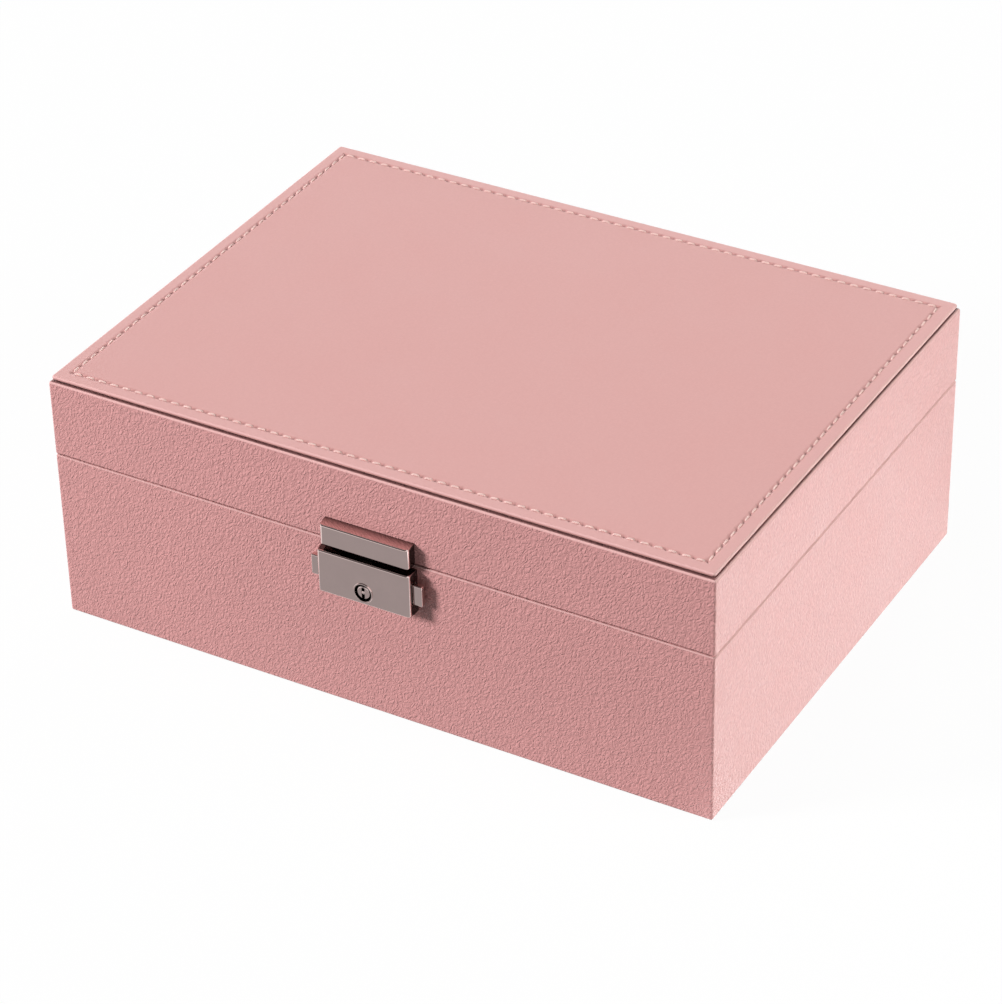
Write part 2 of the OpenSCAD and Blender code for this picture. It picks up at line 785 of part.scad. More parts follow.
module hasp_block() {
    profile = [[front_y, hasp_z], [front_y, hasp_z + hasp_h],
               [front_y - hasp_depth, hasp_z + hasp_h - hasp_fall], [front_y - hasp_depth, hasp_z]];
    root_w = tongue_neck_w + 2 * seat_gap;
    color(nickel) difference() {
        translate([-hasp_w / 2, 0, 0]) rotate([90, 0, 90]) linear_extrude(hasp_w) polygon(profile);
        block([-root_w / 2, root_w / 2], [tongue_y - seat_gap, tongue_y + tongue_t + seat_gap],
              [hasp_z - cut, hasp_z + tongue_root + seat_gap]);
        for (x = [-hasp_screw_x, hasp_screw_x])
            bar_y(x, hasp_screw_z, hasp_screw_r + seat_gap,
                  [front_y - hasp_screw_bite - seat_gap, front_y + cut]);
    }
}

// The T-shaped tongue that hangs from the hasp into the lock
module hasp_tongue() {
    head_top_z = tongue_foot_z + tongue_head_h;
    tongue_ys = [tongue_y, tongue_y + tongue_t];
    color(dark_steel) union() {
        block([-tongue_neck_w / 2, tongue_neck_w / 2], tongue_ys, [tongue_foot_z, hasp_z + tongue_root]);
        block([-tongue_head_w / 2, tongue_head_w / 2], tongue_ys, [tongue_foot_z, head_top_z]);
    }
}

// Pan-head machine screws from inside the lid's front board
module hasp_screws() {
    head_y = [head_seat_y, head_seat_y + hasp_screw_head_h];
    color(dark_steel) for (x = [-hasp_screw_x, hasp_screw_x]) {
        bar_y(x, hasp_screw_z, hasp_screw_r, [front_y - hasp_screw_bite, head_y[1]]);
        bar_y(x, hasp_screw_z, hasp_screw_head_r, head_y);
    }
}

// Hinges

// The plate of one leaf with its countersunk holes: side -1 below the axis, side 1 above it
module leaf_plate(side) {
    near_z = axis_z + side * leaf_edge;
    far_z = near_z + side * leaf_h;
    difference() {
        block([-hinge_l / 2, hinge_l / 2], [back_y, back_y + leaf_t],
              [min(near_z, far_z), max(near_z, far_z)]);
        for (dx = [-hinge_screw_x, hinge_screw_x]) {
            bar_y(dx, leaf_screw_z(side), hinge_screw_r + seat_gap, [back_y - cut, back_y + leaf_t + cut]);
            translate([dx, back_y + leaf_t - screw_head_h(), leaf_screw_z(side)]) rotate([-90, 0, 0])
                cylinder(r1 = hinge_screw_r + seat_gap, r2 = hinge_screw_head_r + seat_gap,
                         h = screw_head_h());
        }
    }
}

// Height of a countersunk head: it ends flush with the leaf and leaves a shoulder under it
function screw_head_h() = leaf_t * 0.8;

// One knuckle and the web that joins it to its leaf
module knuckle(side, x) {
    web_z = axis_z + side * (leaf_edge + 1);
    axle(barrel_r, x);
    block(x, [back_y, back_y + leaf_t], [min(axis_z, web_z), max(axis_z, web_z)]);
}

// The two outer knuckles hold the pin
module hinge_base_leaf(x) {
    color(nickel) translate([x, 0, 0]) difference() {
        union() {
            leaf_plate(-1);
            knuckle(-1, [-hinge_l / 2, -hinge_l / 2 + knuckle_l]);
            knuckle(-1, [hinge_l / 2 - knuckle_l, hinge_l / 2]);
        }
        axle(pin_r + seat_gap, [-hinge_l / 2 - cut, hinge_l / 2 + cut]);
    }
}

// The middle knuckle turns on the pin, and its heel meets the base's leaf when the lid is open
module hinge_lid_leaf(x) {
    middle = hinge_l / 2 - knuckle_l - knuckle_gap;
    heel_front = -(barrel_r + 0.3 - leaf_t) + 0.15;
    color(nickel) translate([x, 0, 0]) difference() {
        union() {
            leaf_plate(1);
            knuckle(1, [-middle, middle]);
            translate([0, axis_y, axis_z]) rotate([lid_stop, 0, 0])
                block([-middle, middle], [heel_front, heel_front + heel_t], [-heel_r, 0]);
        }
        axle(pin_r + run_gap, [-middle - cut, middle + cut]);
    }
}

module hinge_pins() {
    color(dark_steel) for (x = hinge_xs) translate([x, 0, 0]) axle(pin_r, [-hinge_l / 2, hinge_l / 2]);
}

// Countersunk wood screws through one leaf of both hinges
module hinge_screws(side) {
    color(dark_steel) for (x = hinge_xs, dx = [-hinge_screw_x, hinge_screw_x]) {
        bar_y(x + dx, leaf_screw_z(side), hinge_screw_r,
              [hinge_screw_tip_y(), back_y + leaf_t - screw_head_h() / 2]);
        translate([x + dx, back_y + leaf_t - screw_head_h(), leaf_screw_z(side)]) rotate([-90, 0, 0])
            cylinder(r1 = hinge_screw_r, r2 = hinge_screw_head_r, h = screw_head_h());
    }
}

foot_sheet();
base_board();
base_front_panel();
base_back_panel();
base_side_panel(-1);  // base_left_panel
base_side_panel(1);  // base_right_panel
base_cover();
base_lining();
tray_ledges();
base_divider_long();
base_dividers_cross();
lid_front_panel();
lid_back_panel();
lid_side_panel(-1);  // lid_left_panel
lid_side_panel(1);  // lid_right_panel
lid_top_board();
lid_cover();
lid_lining();
top_card();
top_cover();
top_stitching();
mirror_frame();
mirror_glass();  // mirror
tray_floor();
tray_cross_wall(-1);  // tray_front_wall
tray_cross_wall(1);  // tray_back_wall
tray_side_wall(-1);  // tray_left_wall
tray_side_wall(1);  // tray_right_wall
tray_divider_front();
tray_divider_ring();
tray_divider_ring_back();
tray_divider_rear_long();
tray_divider_rear_cross();
for (number = [1:roll_count]) ring_roll(number);
tray_pull_tabs();
lock_case();
lock_backplate();
lock_plug();
lock_cam();
button_left();
button_right();
button_spring(-1);  // button_spring_left
button_spring(1);  // button_spring_right
hasp_block();
hasp_tongue();
hasp_screws();
hinge_base_leaf(hinge_xs[0]);  // hinge_base_leaf_left
hinge_base_leaf(hinge_xs[1]);  // hinge_base_leaf_right
hinge_lid_leaf(hinge_xs[0]);  // hinge_lid_leaf_left
hinge_lid_leaf(hinge_xs[1]);  // hinge_lid_leaf_right
hinge_pins();
hinge_screws(-1);  // hinge_screws_base
hinge_screws(1);  // hinge_screws_lid
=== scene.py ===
"""Looks of a leather-covered jewellery box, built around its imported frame.

Every piece is modelled in millimetres in the frame's own axes and scaled to metres when it is made.
"""

import json
import logging
import math
from collections.abc import Callable, Iterable, Sequence
from dataclasses import dataclass
from enum import Enum

import bmesh
import bpy
import numpy as np
from bmesh.types import BMEdge, BMFace, BMVert
from mathutils import Matrix, Vector


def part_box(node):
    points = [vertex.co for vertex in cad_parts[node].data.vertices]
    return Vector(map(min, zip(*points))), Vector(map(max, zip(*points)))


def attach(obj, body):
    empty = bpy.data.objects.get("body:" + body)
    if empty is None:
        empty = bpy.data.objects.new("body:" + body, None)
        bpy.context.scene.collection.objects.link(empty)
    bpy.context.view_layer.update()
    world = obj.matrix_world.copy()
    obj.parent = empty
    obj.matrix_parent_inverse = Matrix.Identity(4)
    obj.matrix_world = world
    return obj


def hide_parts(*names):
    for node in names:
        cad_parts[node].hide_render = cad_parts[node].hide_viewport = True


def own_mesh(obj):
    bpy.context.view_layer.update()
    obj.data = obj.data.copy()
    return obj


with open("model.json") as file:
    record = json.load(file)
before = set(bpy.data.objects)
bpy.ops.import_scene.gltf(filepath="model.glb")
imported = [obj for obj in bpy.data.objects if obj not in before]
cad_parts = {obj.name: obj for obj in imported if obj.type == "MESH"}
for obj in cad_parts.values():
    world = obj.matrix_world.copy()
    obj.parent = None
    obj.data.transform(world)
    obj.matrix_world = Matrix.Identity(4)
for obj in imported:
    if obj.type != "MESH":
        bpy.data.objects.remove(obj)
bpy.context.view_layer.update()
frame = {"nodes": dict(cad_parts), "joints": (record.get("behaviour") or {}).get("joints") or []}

LOG = logging.getLogger("jewellery_box")
Point = Sequence[float]
Colour = tuple[float, float, float, float]
MM = 0.001
WELD = 0.001
NEAR = 0.01
CREASE = math.radians(40)
RIGHT, BACK, UP = Vector((1, 0, 0)), Vector((0, 1, 0)), Vector((0, 0, 1))
LEFT, FRONT, DOWN = -RIGHT, -BACK, -UP
SIDES = ("front", "back", "left", "right")
GRAIN_RUN = (0.45, 0.45, 0.77)
WHITE = (1.0, 1.0, 1.0, 1.0)


class Body(Enum):
    """The frame's moving bodies."""

    BASE = "base"
    LID = "lid"
    TRAY = "tray"
    LEFT_BUTTON = "left_button"
    RIGHT_BUTTON = "right_button"
    KEY = "key_cylinder"


class Slot(Enum):
    """The record's material slots."""

    LEATHER = "pink_leather"
    VELVET = "velvet"
    ROLL = "ring_roll_velvet"
    FOOT = "foot_cloth"
    THREAD = "thread"
    MIRROR = "mirror_glass"
    NICKEL = "polished_nickel"
    STEEL = "steel"


class Rim(Enum):
    """Which side of a leather shell is open."""

    TOP = 1
    BOTTOM = -1


class Half(Enum):
    """Which leaf of a hinge is meant, by its side of the axis."""

    BASE = -1
    LID = 1


def box_mm(node: str) -> tuple[Vector, Vector]:
    """A node's lowest and highest corner in millimetres."""
    low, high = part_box(node)
    return low / MM, high / MM


def joint_named(name: str) -> dict:
    """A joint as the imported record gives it."""
    return next(joint for joint in frame["joints"] if joint["name"] == name)


def joint_mm(name: str) -> Vector:
    """A point on a joint's axis in millimetres."""
    return Vector(joint_named(name)["pos_m"]) / MM


class Val:
    """A socket in a shader, on which Python's operators add Math nodes."""

    def __init__(self, graph: "Graph", socket: bpy.types.NodeSocket) -> None:
        """Keeps the socket and the graph that it is in."""
        self.graph = graph
        self.socket = socket

    def math(self, operation: str, first: "Val | float", second: "Val | float") -> "Val":
        """Adds one Math node of two values."""
        inputs = {"Value": first, "Value_001": second}
        return self.graph.node("ShaderNodeMath", {"operation": operation}, inputs)

    def __add__(self, other: "Val | float") -> "Val":
        """The sum."""
        return self.math("ADD", self, other)

    def __sub__(self, other: "Val | float") -> "Val":
        """The difference."""
        return self.math("SUBTRACT", self, other)

    def __rsub__(self, other: float) -> "Val":
        """The difference from a number."""
        return self.math("SUBTRACT", other, self)

    def __mul__(self, other: "Val | float") -> "Val":
        """The product."""
        return self.math("MULTIPLY", self, other)

    __radd__ = __add__
    __rmul__ = __mul__

    def step(self, low: float, high: float) -> "Val":
        """Rises smoothly from 0 at one value to 1 at another."""
        inputs = {"Value": self, "From Min": low, "From Max": high}
        return self.graph.node("ShaderNodeMapRange", {"interpolation_type": "SMOOTHSTEP"}, inputs)


class Graph:
    """The nodes of one material or world."""

    def __init__(self, tree: bpy.types.NodeTree) -> None:
        """Starts from an empty tree."""
        self.tree = tree
        tree.nodes.clear()

    def node(self, kind: str, settings: dict | None = None, inputs: dict | None = None,
             output: str | None = None) -> Val:
        """Adds one node.

        Args:
            kind: The node's type.
            settings: Its properties, which are set first.
            inputs: Values or links, by the identifier of their socket.
            output: Identifier of the socket that is wanted, or None for the first.

        Returns:
            The wanted output.
        """
        made = self.tree.nodes.new(kind)
        for key, value in (settings or {}).items():
            setattr(made, key, value)
        for key, value in (inputs or {}).items():
            socket = next(s for s in made.inputs if s.identifier == key)
            if isinstance(value, Val):
                self.tree.links.new(value.socket, socket)
            else:
                socket.default_value = value
        wanted = [s for s in made.outputs if output in (None, s.identifier)]
        return Val(self, wanted[0] if wanted else None)

    def vector(self, operation: str, *parts: "Val | Point", scale: "Val | float" = 1.0) -> Val:
        """Adds one Vector Math node.

        Args:
            operation: What it does.
            parts: Its vectors, in order.
            scale: The factor, where the operation has one.

        Returns:
            The resulting vector, or the value of a dot product.
        """
        sockets = ("Vector", "Vector_001", "Vector_002")
        inputs = dict(zip(sockets, parts)) | {"Scale": scale}
        output = "Value" if operation == "DOT_PRODUCT" else "Vector"
        return self.node("ShaderNodeVectorMath", {"operation": operation}, inputs, output)

    def mix(self, share: "Val | float", first: "Val | Colour", second: "Val | Colour") -> Val:
        """Blends two colours."""
        inputs = {"Factor_Float": share, "A_Color": first, "B_Color": second}
        return self.node("ShaderNodeMix", {"data_type": "RGBA"}, inputs, "Result_Color")

    def noise(self, place: Val, scale: float, detail: float = 2.0, output: str = "Fac") -> Val:
        """Adds a noise of so many features a metre."""
        inputs = {"Vector": place, "Scale": scale, "Detail": detail}
        return self.node("ShaderNodeTexNoise", {}, inputs, output)

    def bump(self, height: Val, depth: float) -> Val:
        """The normal of a bump, whose height from 0 to 1 is so many millimetres deep."""
        inputs = {"Strength": 1.0, "Distance": depth * MM, "Height": height}
        return self.node("ShaderNodeBump", {}, inputs)

    def place(self) -> Val:
        """The point on the piece, in metres."""
        return self.node("ShaderNodeTexCoord", {}, {}, "Object")

    def layer(self, name: str) -> Val:
        """How strongly the piece is marked in a layer."""
        return self.node("ShaderNodeAttribute", {"attribute_name": name}, {}, "Fac")

    def stretched(self, place: Val, scales: Point) -> Val:
        """The point with each axis scaled."""
        return self.vector("MULTIPLY", place, scales)

    def cloth(self, **sockets: "Val | float | Colour") -> Val:
        """Adds the one surface shader, from values or links by socket, with _ for a space."""
        inputs = {key.replace("_", " "): value for key, value in sockets.items()}
        return self.node("ShaderNodeBsdfPrincipled", {}, inputs)


def shade(colour: Colour, share: float) -> Colour:
    """A colour made darker or lighter by a factor."""
    return tuple(min(1.0, c * share) for c in colour[:3]) + (1.0,)


class Finish:
    """What every finish shares: one material, made when it is first asked for."""

    name: str

    def surface(self, graph: Graph) -> Val:
        """The finish's shader, which each finish gives."""
        raise NotImplementedError

    def material(self) -> bpy.types.Material:
        """The finish's material.

        Returns:
            The material, which is made at the first call.
        """
        found = bpy.data.materials.get(self.name)
        if found is None:
            found = bpy.data.materials.new(self.name)
            found.use_nodes = True
            graph = Graph(found.node_tree)
            graph.node("ShaderNodeOutputMaterial", {}, {"Surface": self.surface(graph)})
        return found


@dataclass(frozen=True)
class Leather(Finish):
    """Pebble-grained synthetic leather with fine creases, stretched smooth over folds; shade is painted into
    its creases, needle holes, cleft and seam, and a highlight onto its upper folds, in part the paleness of
    stretched leather.
    """

    name: str
    colour: Colour = (0.745, 0.355, 0.348, 1.0)
    # Colour of the painted shade in needle holes, under the top panel's edge and along the lid's seam.
    painted_shade: Colour = (0.08, 0.02, 0.018, 1.0)
    # Colour of the painted highlight on folds, partly the paleness of stretched leather.
    stretched: Colour = (0.84, 0.49, 0.475, 1.0)
    drift: float = 380.0
    bend: float = 0.0016
    drawn: float = 0.6
    cells: float = 1000.0
    patches: float = 42.0
    depth: float = 0.345
    # Range of the painted shade in the creases and of the random broad mottle.
    crease_shade_and_mottle: float = 0.13
    roughness: float = 0.46

    def surface(self, graph: Graph) -> Val:
        """Wrinkled cells drawn out along the diagonal, with a painted highlight on folds and painted shade in
        creases and holes.

        Args:
            graph: The material\'s nodes.

        Returns:
            The shader.
        """
        place = graph.place()
        drift = graph.noise(place, self.drift, 1.0, "Color")
        bent = graph.vector("MULTIPLY_ADD", drift, (self.bend,) * 3, place)
        along = graph.vector("DOT_PRODUCT", bent, GRAIN_RUN)
        drawn = graph.vector("SUBTRACT", bent, graph.vector("SCALE", GRAIN_RUN, scale=along * self.drawn))
        inputs = {"Vector": drawn, "Scale": self.cells}
        edge = graph.node("ShaderNodeTexVoronoi", {"feature": "DISTANCE_TO_EDGE"}, inputs)
        pebble = edge.step(0.0, 0.28)
        wrinkle = graph.noise(drawn, self.cells * 1.1, 2.0)
        broad = graph.noise(place, self.patches, 2.0)
        fold_highlight = graph.layer("fold_highlight")
        height = (pebble * 0.26 + wrinkle) * (1.0 - fold_highlight * 0.8)
        # Painted shade: darker in the creases between pebbles and in low wrinkles; the broad noise is a
        # random mottle.
        tone = pebble * 0.3 + wrinkle.step(0.3, 0.7) * 0.3 + broad * 0.4
        dark, pale = shade(self.colour, 1.0 - self.crease_shade_and_mottle), shade(self.colour, 1.0 + self.crease_shade_and_mottle * 0.6)
        # Painted highlight on the folds, partly the paleness of stretched leather.
        colour = graph.mix(fold_highlight, graph.mix(tone, dark, pale), self.stretched)
        # Painted shade in needle holes, under the panel's edge and along the seam.
        colour = graph.mix(graph.layer("painted_shade"), colour, self.painted_shade)
        rough = self.roughness + (0.5 - pebble) * 0.10 + (broad - 0.5) * 0.10
        return graph.cloth(Base_Color=colour, Roughness=rough, Normal=graph.bump(height, self.depth))


@dataclass(frozen=True)
class Velvet(Finish):
    """Short-pile velvet with a nap that catches the light unevenly."""

    name: str
    colour: Colour = (0.60, 0.36, 0.335, 1.0)
    sheen: Colour = (1.0, 0.86, 0.83, 1.0)
    tones: tuple[float, float] = (0.84, 1.10)
    patches: float = 60.0
    tufts: float = 3800.0
    flecks: float = 1500.0
    pile: float = 0.05

    def surface(self, graph: Graph) -> Val:
        """Brushed patches painted lighter and darker as the nap's sheen, with random flecks, over single
        tufts.

        Args:
            graph: The material\'s nodes.

        Returns:
            The shader.
        """
        place = graph.place()
        brushed_sheen = graph.noise(graph.stretched(place, (1.0, 1.0, 0.6)), self.patches, 4.0)
        tuft = graph.noise(place, self.tufts, 1.0)
        fleck = graph.noise(place, self.flecks, 2.0)
        # Painted sheen of the brushed nap, mixed with random flecks.
        tone = brushed_sheen.step(0.32, 0.68) * 0.6 + fleck * 0.4
        colour = graph.mix(tone, *(shade(self.colour, share) for share in self.tones))
        normal = graph.bump(tuft * 0.7 + fleck * 0.3, self.pile)
        rough = 0.9 - fleck * 0.12
        return graph.cloth(Base_Color=colour, Roughness=rough, Normal=normal, Sheen_Weight=0.35,
                           Sheen_Roughness=0.35, Sheen_Tint=self.sheen)


@dataclass(frozen=True)
class Metal(Finish):
    """Plated or plain metal with faint polishing lines and haze, and painted shade where a piece marks it."""

    name: str
    colour: Colour
    roughness: float
    lines: float
    line_scale: float = 4200.0
    haze_scale: float = 160.0
    # How dark the painted shade is, as a share of the metal's colour.
    painted_metal_shade: float = 0.03

    def surface(self, graph: Graph) -> Val:
        """Lines that run along X, cloudy haze between them, and painted shade where marked.

        Args:
            graph: The material\'s nodes.

        Returns:
            The shader.
        """
        place = graph.place()
        line = graph.noise(graph.stretched(place, (0.02, 1.0, 1.0)), self.line_scale, 2.0)
        haze = graph.noise(place, self.haze_scale, 3.0)
        rough = self.roughness * (0.75 + haze * 0.5) + line * self.lines
        colour = graph.mix(haze, shade(self.colour, 0.94), shade(self.colour, 1.06))
        # Painted shade where the piece marks it.
        colour = graph.mix(graph.layer("painted_metal_shade"), colour, shade(self.colour, self.painted_metal_shade))
        return graph.cloth(Base_Color=colour, Roughness=rough, Metallic=1.0,
                           Normal=graph.bump(line, 0.0006 + 0.004 * self.lines))


@dataclass(frozen=True)
class Silvering(Finish):
    """Silvered mirror glass with a little dust on it."""

    name: str = "silvered_glass"
    colour: Colour = (0.86, 0.89, 0.89, 1.0)
    specks: float = 900.0
    smears: float = 30.0

    def surface(self, graph: Graph) -> Val:
        """A clean mirror, hazed by specks.

        Args:
            graph: The material\'s nodes.

        Returns:
            The shader.
        """
        dust = graph.noise(graph.place(), self.specks, 3.0).step(0.66, 0.8)
        smear = graph.noise(graph.place(), self.smears, 3.0)
        colour = graph.mix(smear, shade(self.colour, 0.97), self.colour)
        return graph.cloth(Base_Color=colour, Metallic=1.0, Roughness=0.012 + dust * 0.05 + smear * 0.02)


@dataclass(frozen=True)
class Thread(Finish):
    """Twisted sewing thread."""

    name: str = "twisted_thread"
    colour: Colour = (1.0, 0.70, 0.655, 1.0)
    # How dark the painted shade in the grooves between the plies is.
    between: float = 0.84
    twist: float = 9000.0
    fuzz: float = 6000.0
    depth: float = 0.06

    def surface(self, graph: Graph) -> Val:
        """Plies that wind round the thread, whichever way it runs, with painted shade in the grooves between
        them.

        Args:
            graph: The material\'s nodes.

        Returns:
            The shader.
        """
        place = graph.place()
        along = graph.vector("DOT_PRODUCT", place, (1.0, 1.0, 0.7))
        twist = graph.node("ShaderNodeMath", {"operation": "SINE"}, {"Value": along * self.twist})
        ply = twist * 0.5 + 0.5
        fuzz = graph.noise(place, self.fuzz, 2.0)
        # Painted shade in the grooves between the plies.
        colour = graph.mix(ply * 0.7 + fuzz * 0.3, shade(self.colour, self.between), self.colour)
        return graph.cloth(Base_Color=colour, Roughness=0.6 + fuzz * 0.2,
                           Normal=graph.bump(ply * 0.8 + fuzz * 0.2, self.depth))


@dataclass(frozen=True)
class Fibres(Finish):
    """Fibres in a ground with patches: a flocked sheet, or fibreboard of pressed chips."""

    name: str
    colour: Colour
    run: Point
    fine: tuple[float, float]
    patches: float
    share: float
    tones: tuple[float, float]
    rough: tuple[float, float]
    depth: float
    sheen: float

    def surface(self, graph: Graph) -> Val:
        """Fine fibres, paler and smoother in patches.

        Args:
            graph: The material\'s nodes.

        Returns:
            The shader.
        """
        place = graph.place()
        fibre = graph.noise(graph.stretched(place, self.run), *self.fine)
        patch = graph.noise(place, self.patches, 3.0)
        tone = fibre * self.share + patch * (1.0 - self.share)
        colour = graph.mix(tone, *(shade(self.colour, share) for share in self.tones))
        return graph.cloth(Base_Color=colour, Roughness=self.rough[0] - patch * self.rough[1],
                           Normal=graph.bump(fibre, self.depth), Sheen_Weight=self.sheen)


WALL_LEATHER = Leather("grained_leather")
# The top panel's leather is the walls' leather with less relief and crease shade, its colour painted a little
# darker and less red, as painted shade on the top.
TOP_LEATHER = Leather("smooth_leather", colour=(0.705, 0.355, 0.338, 1.0), depth=0.025, crease_shade_and_mottle=0.03,
                      roughness=0.40)
STRAP_LEATHER = Leather("strap_leather", depth=0.16)
LINING = Velvet("blush_velvet")
ROLL_VELVET = Velvet("roll_velvet", colour=(0.63, 0.385, 0.36, 1.0))
NICKEL = Metal("polished_nickel_plate", (0.80, 0.625, 0.60, 1.0), 0.02, 0.012)
STEEL = Metal("plain_steel", (0.36, 0.345, 0.335, 1.0), 0.3, 0.12)
# Steel painted near black as the shade in the gap between hasp and case, where the tongue sits.
STEEL_PAINTED_AS_SHADE = Metal("steel_painted_dark_as_shade", (0.03, 0.028, 0.027, 1.0), 0.35, 0.12)
MIRROR = Silvering()
THREAD = Thread()
FLOCK = Fibres("flocked_sheet", (0.42, 0.25, 0.235, 1.0), run=(1.0, 1.0, 1.0), fine=(2600.0, 3.0),
               patches=35.0, share=0.6, tones=(0.75, 1.2), rough=(0.95, 0.08), depth=0.08, sheen=0.2)
BOARD = Fibres("fibreboard", (0.47, 0.32, 0.20, 1.0), run=(0.25, 1.0, 1.0), fine=(1400.0, 4.0),
               patches=260.0, share=0.7, tones=(0.7, 1.25), rough=(0.85, 0.1), depth=0.05, sheen=0.0)


class Shape:
    """A mesh under construction, in millimetres in the frame's axes."""

    def __init__(self, *corners: Point) -> None:
        """Starts with no geometry, or with a block.

        Args:
            corners: The block's lowest and highest corner, or nothing.
        """
        self.bm = bmesh.new()
        if corners:
            self.block(*corners)

    def block(self, low: Point, high: Point) -> list[BMVert]:
        """Adds a block.

        Args:
            low: Its lowest corner.
            high: Its highest corner.

        Returns:
            Its eight corners.
        """
        size, middle = Vector(high) - Vector(low), (Vector(low) + Vector(high)) / 2
        place = Matrix.Translation(middle) @ Matrix.Diagonal((*size, 1.0))
        return bmesh.ops.create_cube(self.bm, size=1.0, matrix=place)["verts"]

    def outline(self, points: Sequence[Point]) -> BMFace:
        """Adds one flat face from its corners."""
        return self.bm.faces.new([self.bm.verts.new(point) for point in points])

    def circle(self, centre: Point, radius: float, sides: int, filled: bool = False) -> list[BMEdge]:
        """Adds a circle that faces along Y.

        Args:
            centre: Its centre.
            radius: Its radius.
            sides: Number of its edges.
            filled: Whether it has a face.

        Returns:
            Its edges.
        """
        place = Matrix.Translation(centre) @ Matrix.Rotation(math.pi / 2, 4, "X")
        made = bmesh.ops.create_circle(self.bm, cap_ends=filled, radius=radius, segments=sides, matrix=place)
        return list({edge for vert in made["verts"] for edge in vert.link_edges})

    def turned(self, outline: Sequence[tuple[float, float]], centre: Point, axis: Vector, steps: int) -> None:
        """Spins an outline round an axis.

        Args:
            outline: Points as a radius and a place along the axis.
            centre: The axis's origin.
            axis: Its direction.
            steps: Number of sides.
        """
        middle, side = Vector(centre), axis.orthogonal().normalized()
        verts = [self.bm.verts.new(middle + axis * along + side * radius) for radius, along in outline]
        edges = [self.bm.edges.new(pair) for pair in zip(verts, verts[1:])]
        bmesh.ops.spin(self.bm, geom=verts + edges, cent=middle, axis=axis, angle=math.tau,
                       steps=steps, use_merge=True)

    def close(self) -> None:
        """Merges doubled vertices and turns every face outwards."""
        bmesh.ops.remove_doubles(self.bm, verts=self.bm.verts, dist=WELD)
        bmesh.ops.recalc_face_normals(self.bm, faces=self.bm.faces)

    def face_at(self, point: Point, facing: Vector) -> BMFace:
        """The smallest face that faces a way and has a point within its bounds.

        Args:
            point: A point on the face.
            facing: The way that the face faces.

        Returns:
            That face.
        """
        self.bm.normal_update()
        spot, found = Vector(point), []
        for face in self.bm.faces:
            if face.normal.dot(facing) < 0.99 or abs((face.verts[0].co - spot).dot(facing)) > 0.05:
                continue
            spans = zip(*(vert.co for vert in face.verts))
            if all(min(span) - WELD <= s <= max(span) + WELD for span, s in zip(spans, spot)):
                found.append(face)
        return min(found, key=lambda face: face.calc_area())

    def sharp(self, test: Callable[[Vector], bool] = lambda middle: True,
              angle: float = 60.0) -> list[BMEdge]:
        """Edges whose two faces meet at more than an angle.

        Args:
            test: Which edges count, by their middle.
            angle: The angle in degrees.

        Returns:
            Those edges.
        """
        self.bm.normal_update()
        return [edge for edge in self.bm.edges
                if len(edge.link_faces) == 2 and edge.calc_face_angle() > math.radians(angle)
                and test((edge.verts[0].co + edge.verts[1].co) / 2)]

    def bevel(self, edges: Iterable[BMEdge], width: float, segments: int, profile: float = 0.5) -> None:
        """Rounds edges off, more squarely as the profile goes from 0.5 to 1."""
        bmesh.ops.bevel(self.bm, geom=list(edges), offset=width, offset_type="OFFSET", segments=segments,
                        profile=profile, affect="EDGES", clamp_overlap=True, material=-1)

    def inset(self, face: BMFace, width: float, rise: float = 0.0) -> BMFace:
        """Insets a face.

        Args:
            face: The face.
            width: Width of the border.
            rise: How far the middle rises out of the border.

        Returns:
            The middle.
        """
        bmesh.ops.inset_region(self.bm, faces=[face], thickness=width, depth=rise, use_even_offset=True,
                               use_boundary=True)
        return face

    def extrude(self, faces: Sequence[BMFace], by: Point) -> list[BMFace]:
        """Draws faces out.

        Args:
            faces: The faces, as one region.
            by: How far and which way.

        Returns:
            The faces at their new place.
        """
        region = {part for face in faces for part in (face, *face.edges, *face.verts)}
        made = bmesh.ops.extrude_face_region(self.bm, geom=list(region))["geom"]
        bmesh.ops.translate(self.bm, vec=by, verts=[part for part in made if isinstance(part, BMVert)])
        return [part for part in made if isinstance(part, BMFace)]

    def remove(self, faces: Sequence[BMFace]) -> None:
        """Deletes faces and leaves their edges."""
        bmesh.ops.delete(self.bm, geom=list(faces), context="FACES_ONLY")

    def score(self, faces: Sequence[BMFace], axis: int, level: float) -> None:
        """Cuts faces along a plane.

        Args:
            faces: The faces.
            axis: The axis that the plane stands across.
            level: Where the plane is along that axis.
        """
        geometry = {part for face in faces for part in (face, *face.edges, *face.verts)}
        point, normal = Vector(), Vector()
        point[axis], normal[axis] = level, 1.0
        bmesh.ops.bisect_plane(self.bm, geom=list(geometry), dist=1e-4, plane_co=point, plane_no=normal)

    def window(self, point: Point, facing: Vector, low: Point, high: Point) -> BMFace:
        """Cuts a rectangle out of a flat face.

        Args:
            point: The rectangle's middle.
            facing: The way that the face faces.
            low: The rectangle's lowest corner.
            high: Its highest corner.

        Returns:
            The rectangle's face.
        """
        for axis in range(3):
            if abs(facing[axis]) < 0.5:
                for level in (low[axis], high[axis]):
                    self.score([self.face_at(point, facing)], axis, level)
        return self.face_at(point, facing)

    def through(self, facing: Vector, levels: tuple[float, float], low: Point, high: Point) -> None:
        """Cuts a rectangular opening through a wall.

        Args:
            facing: The way that the wall's outer face faces.
            levels: Where the outer and the inner face are, along that axis.
            low: The opening's lowest corner.
            high: Its highest corner.
        """
        axis = max(range(3), key=lambda index: abs(facing[index]))
        loops: list[BMEdge] = []
        for level, way in zip(levels, (facing, -facing)):
            point = (Vector(low) + Vector(high)) / 2
            point[axis] = level
            face = self.window(point, way, low, high)
            loops += list(face.edges)
            self.remove([face])
        bmesh.ops.bridge_loops(self.bm, edges=loops)

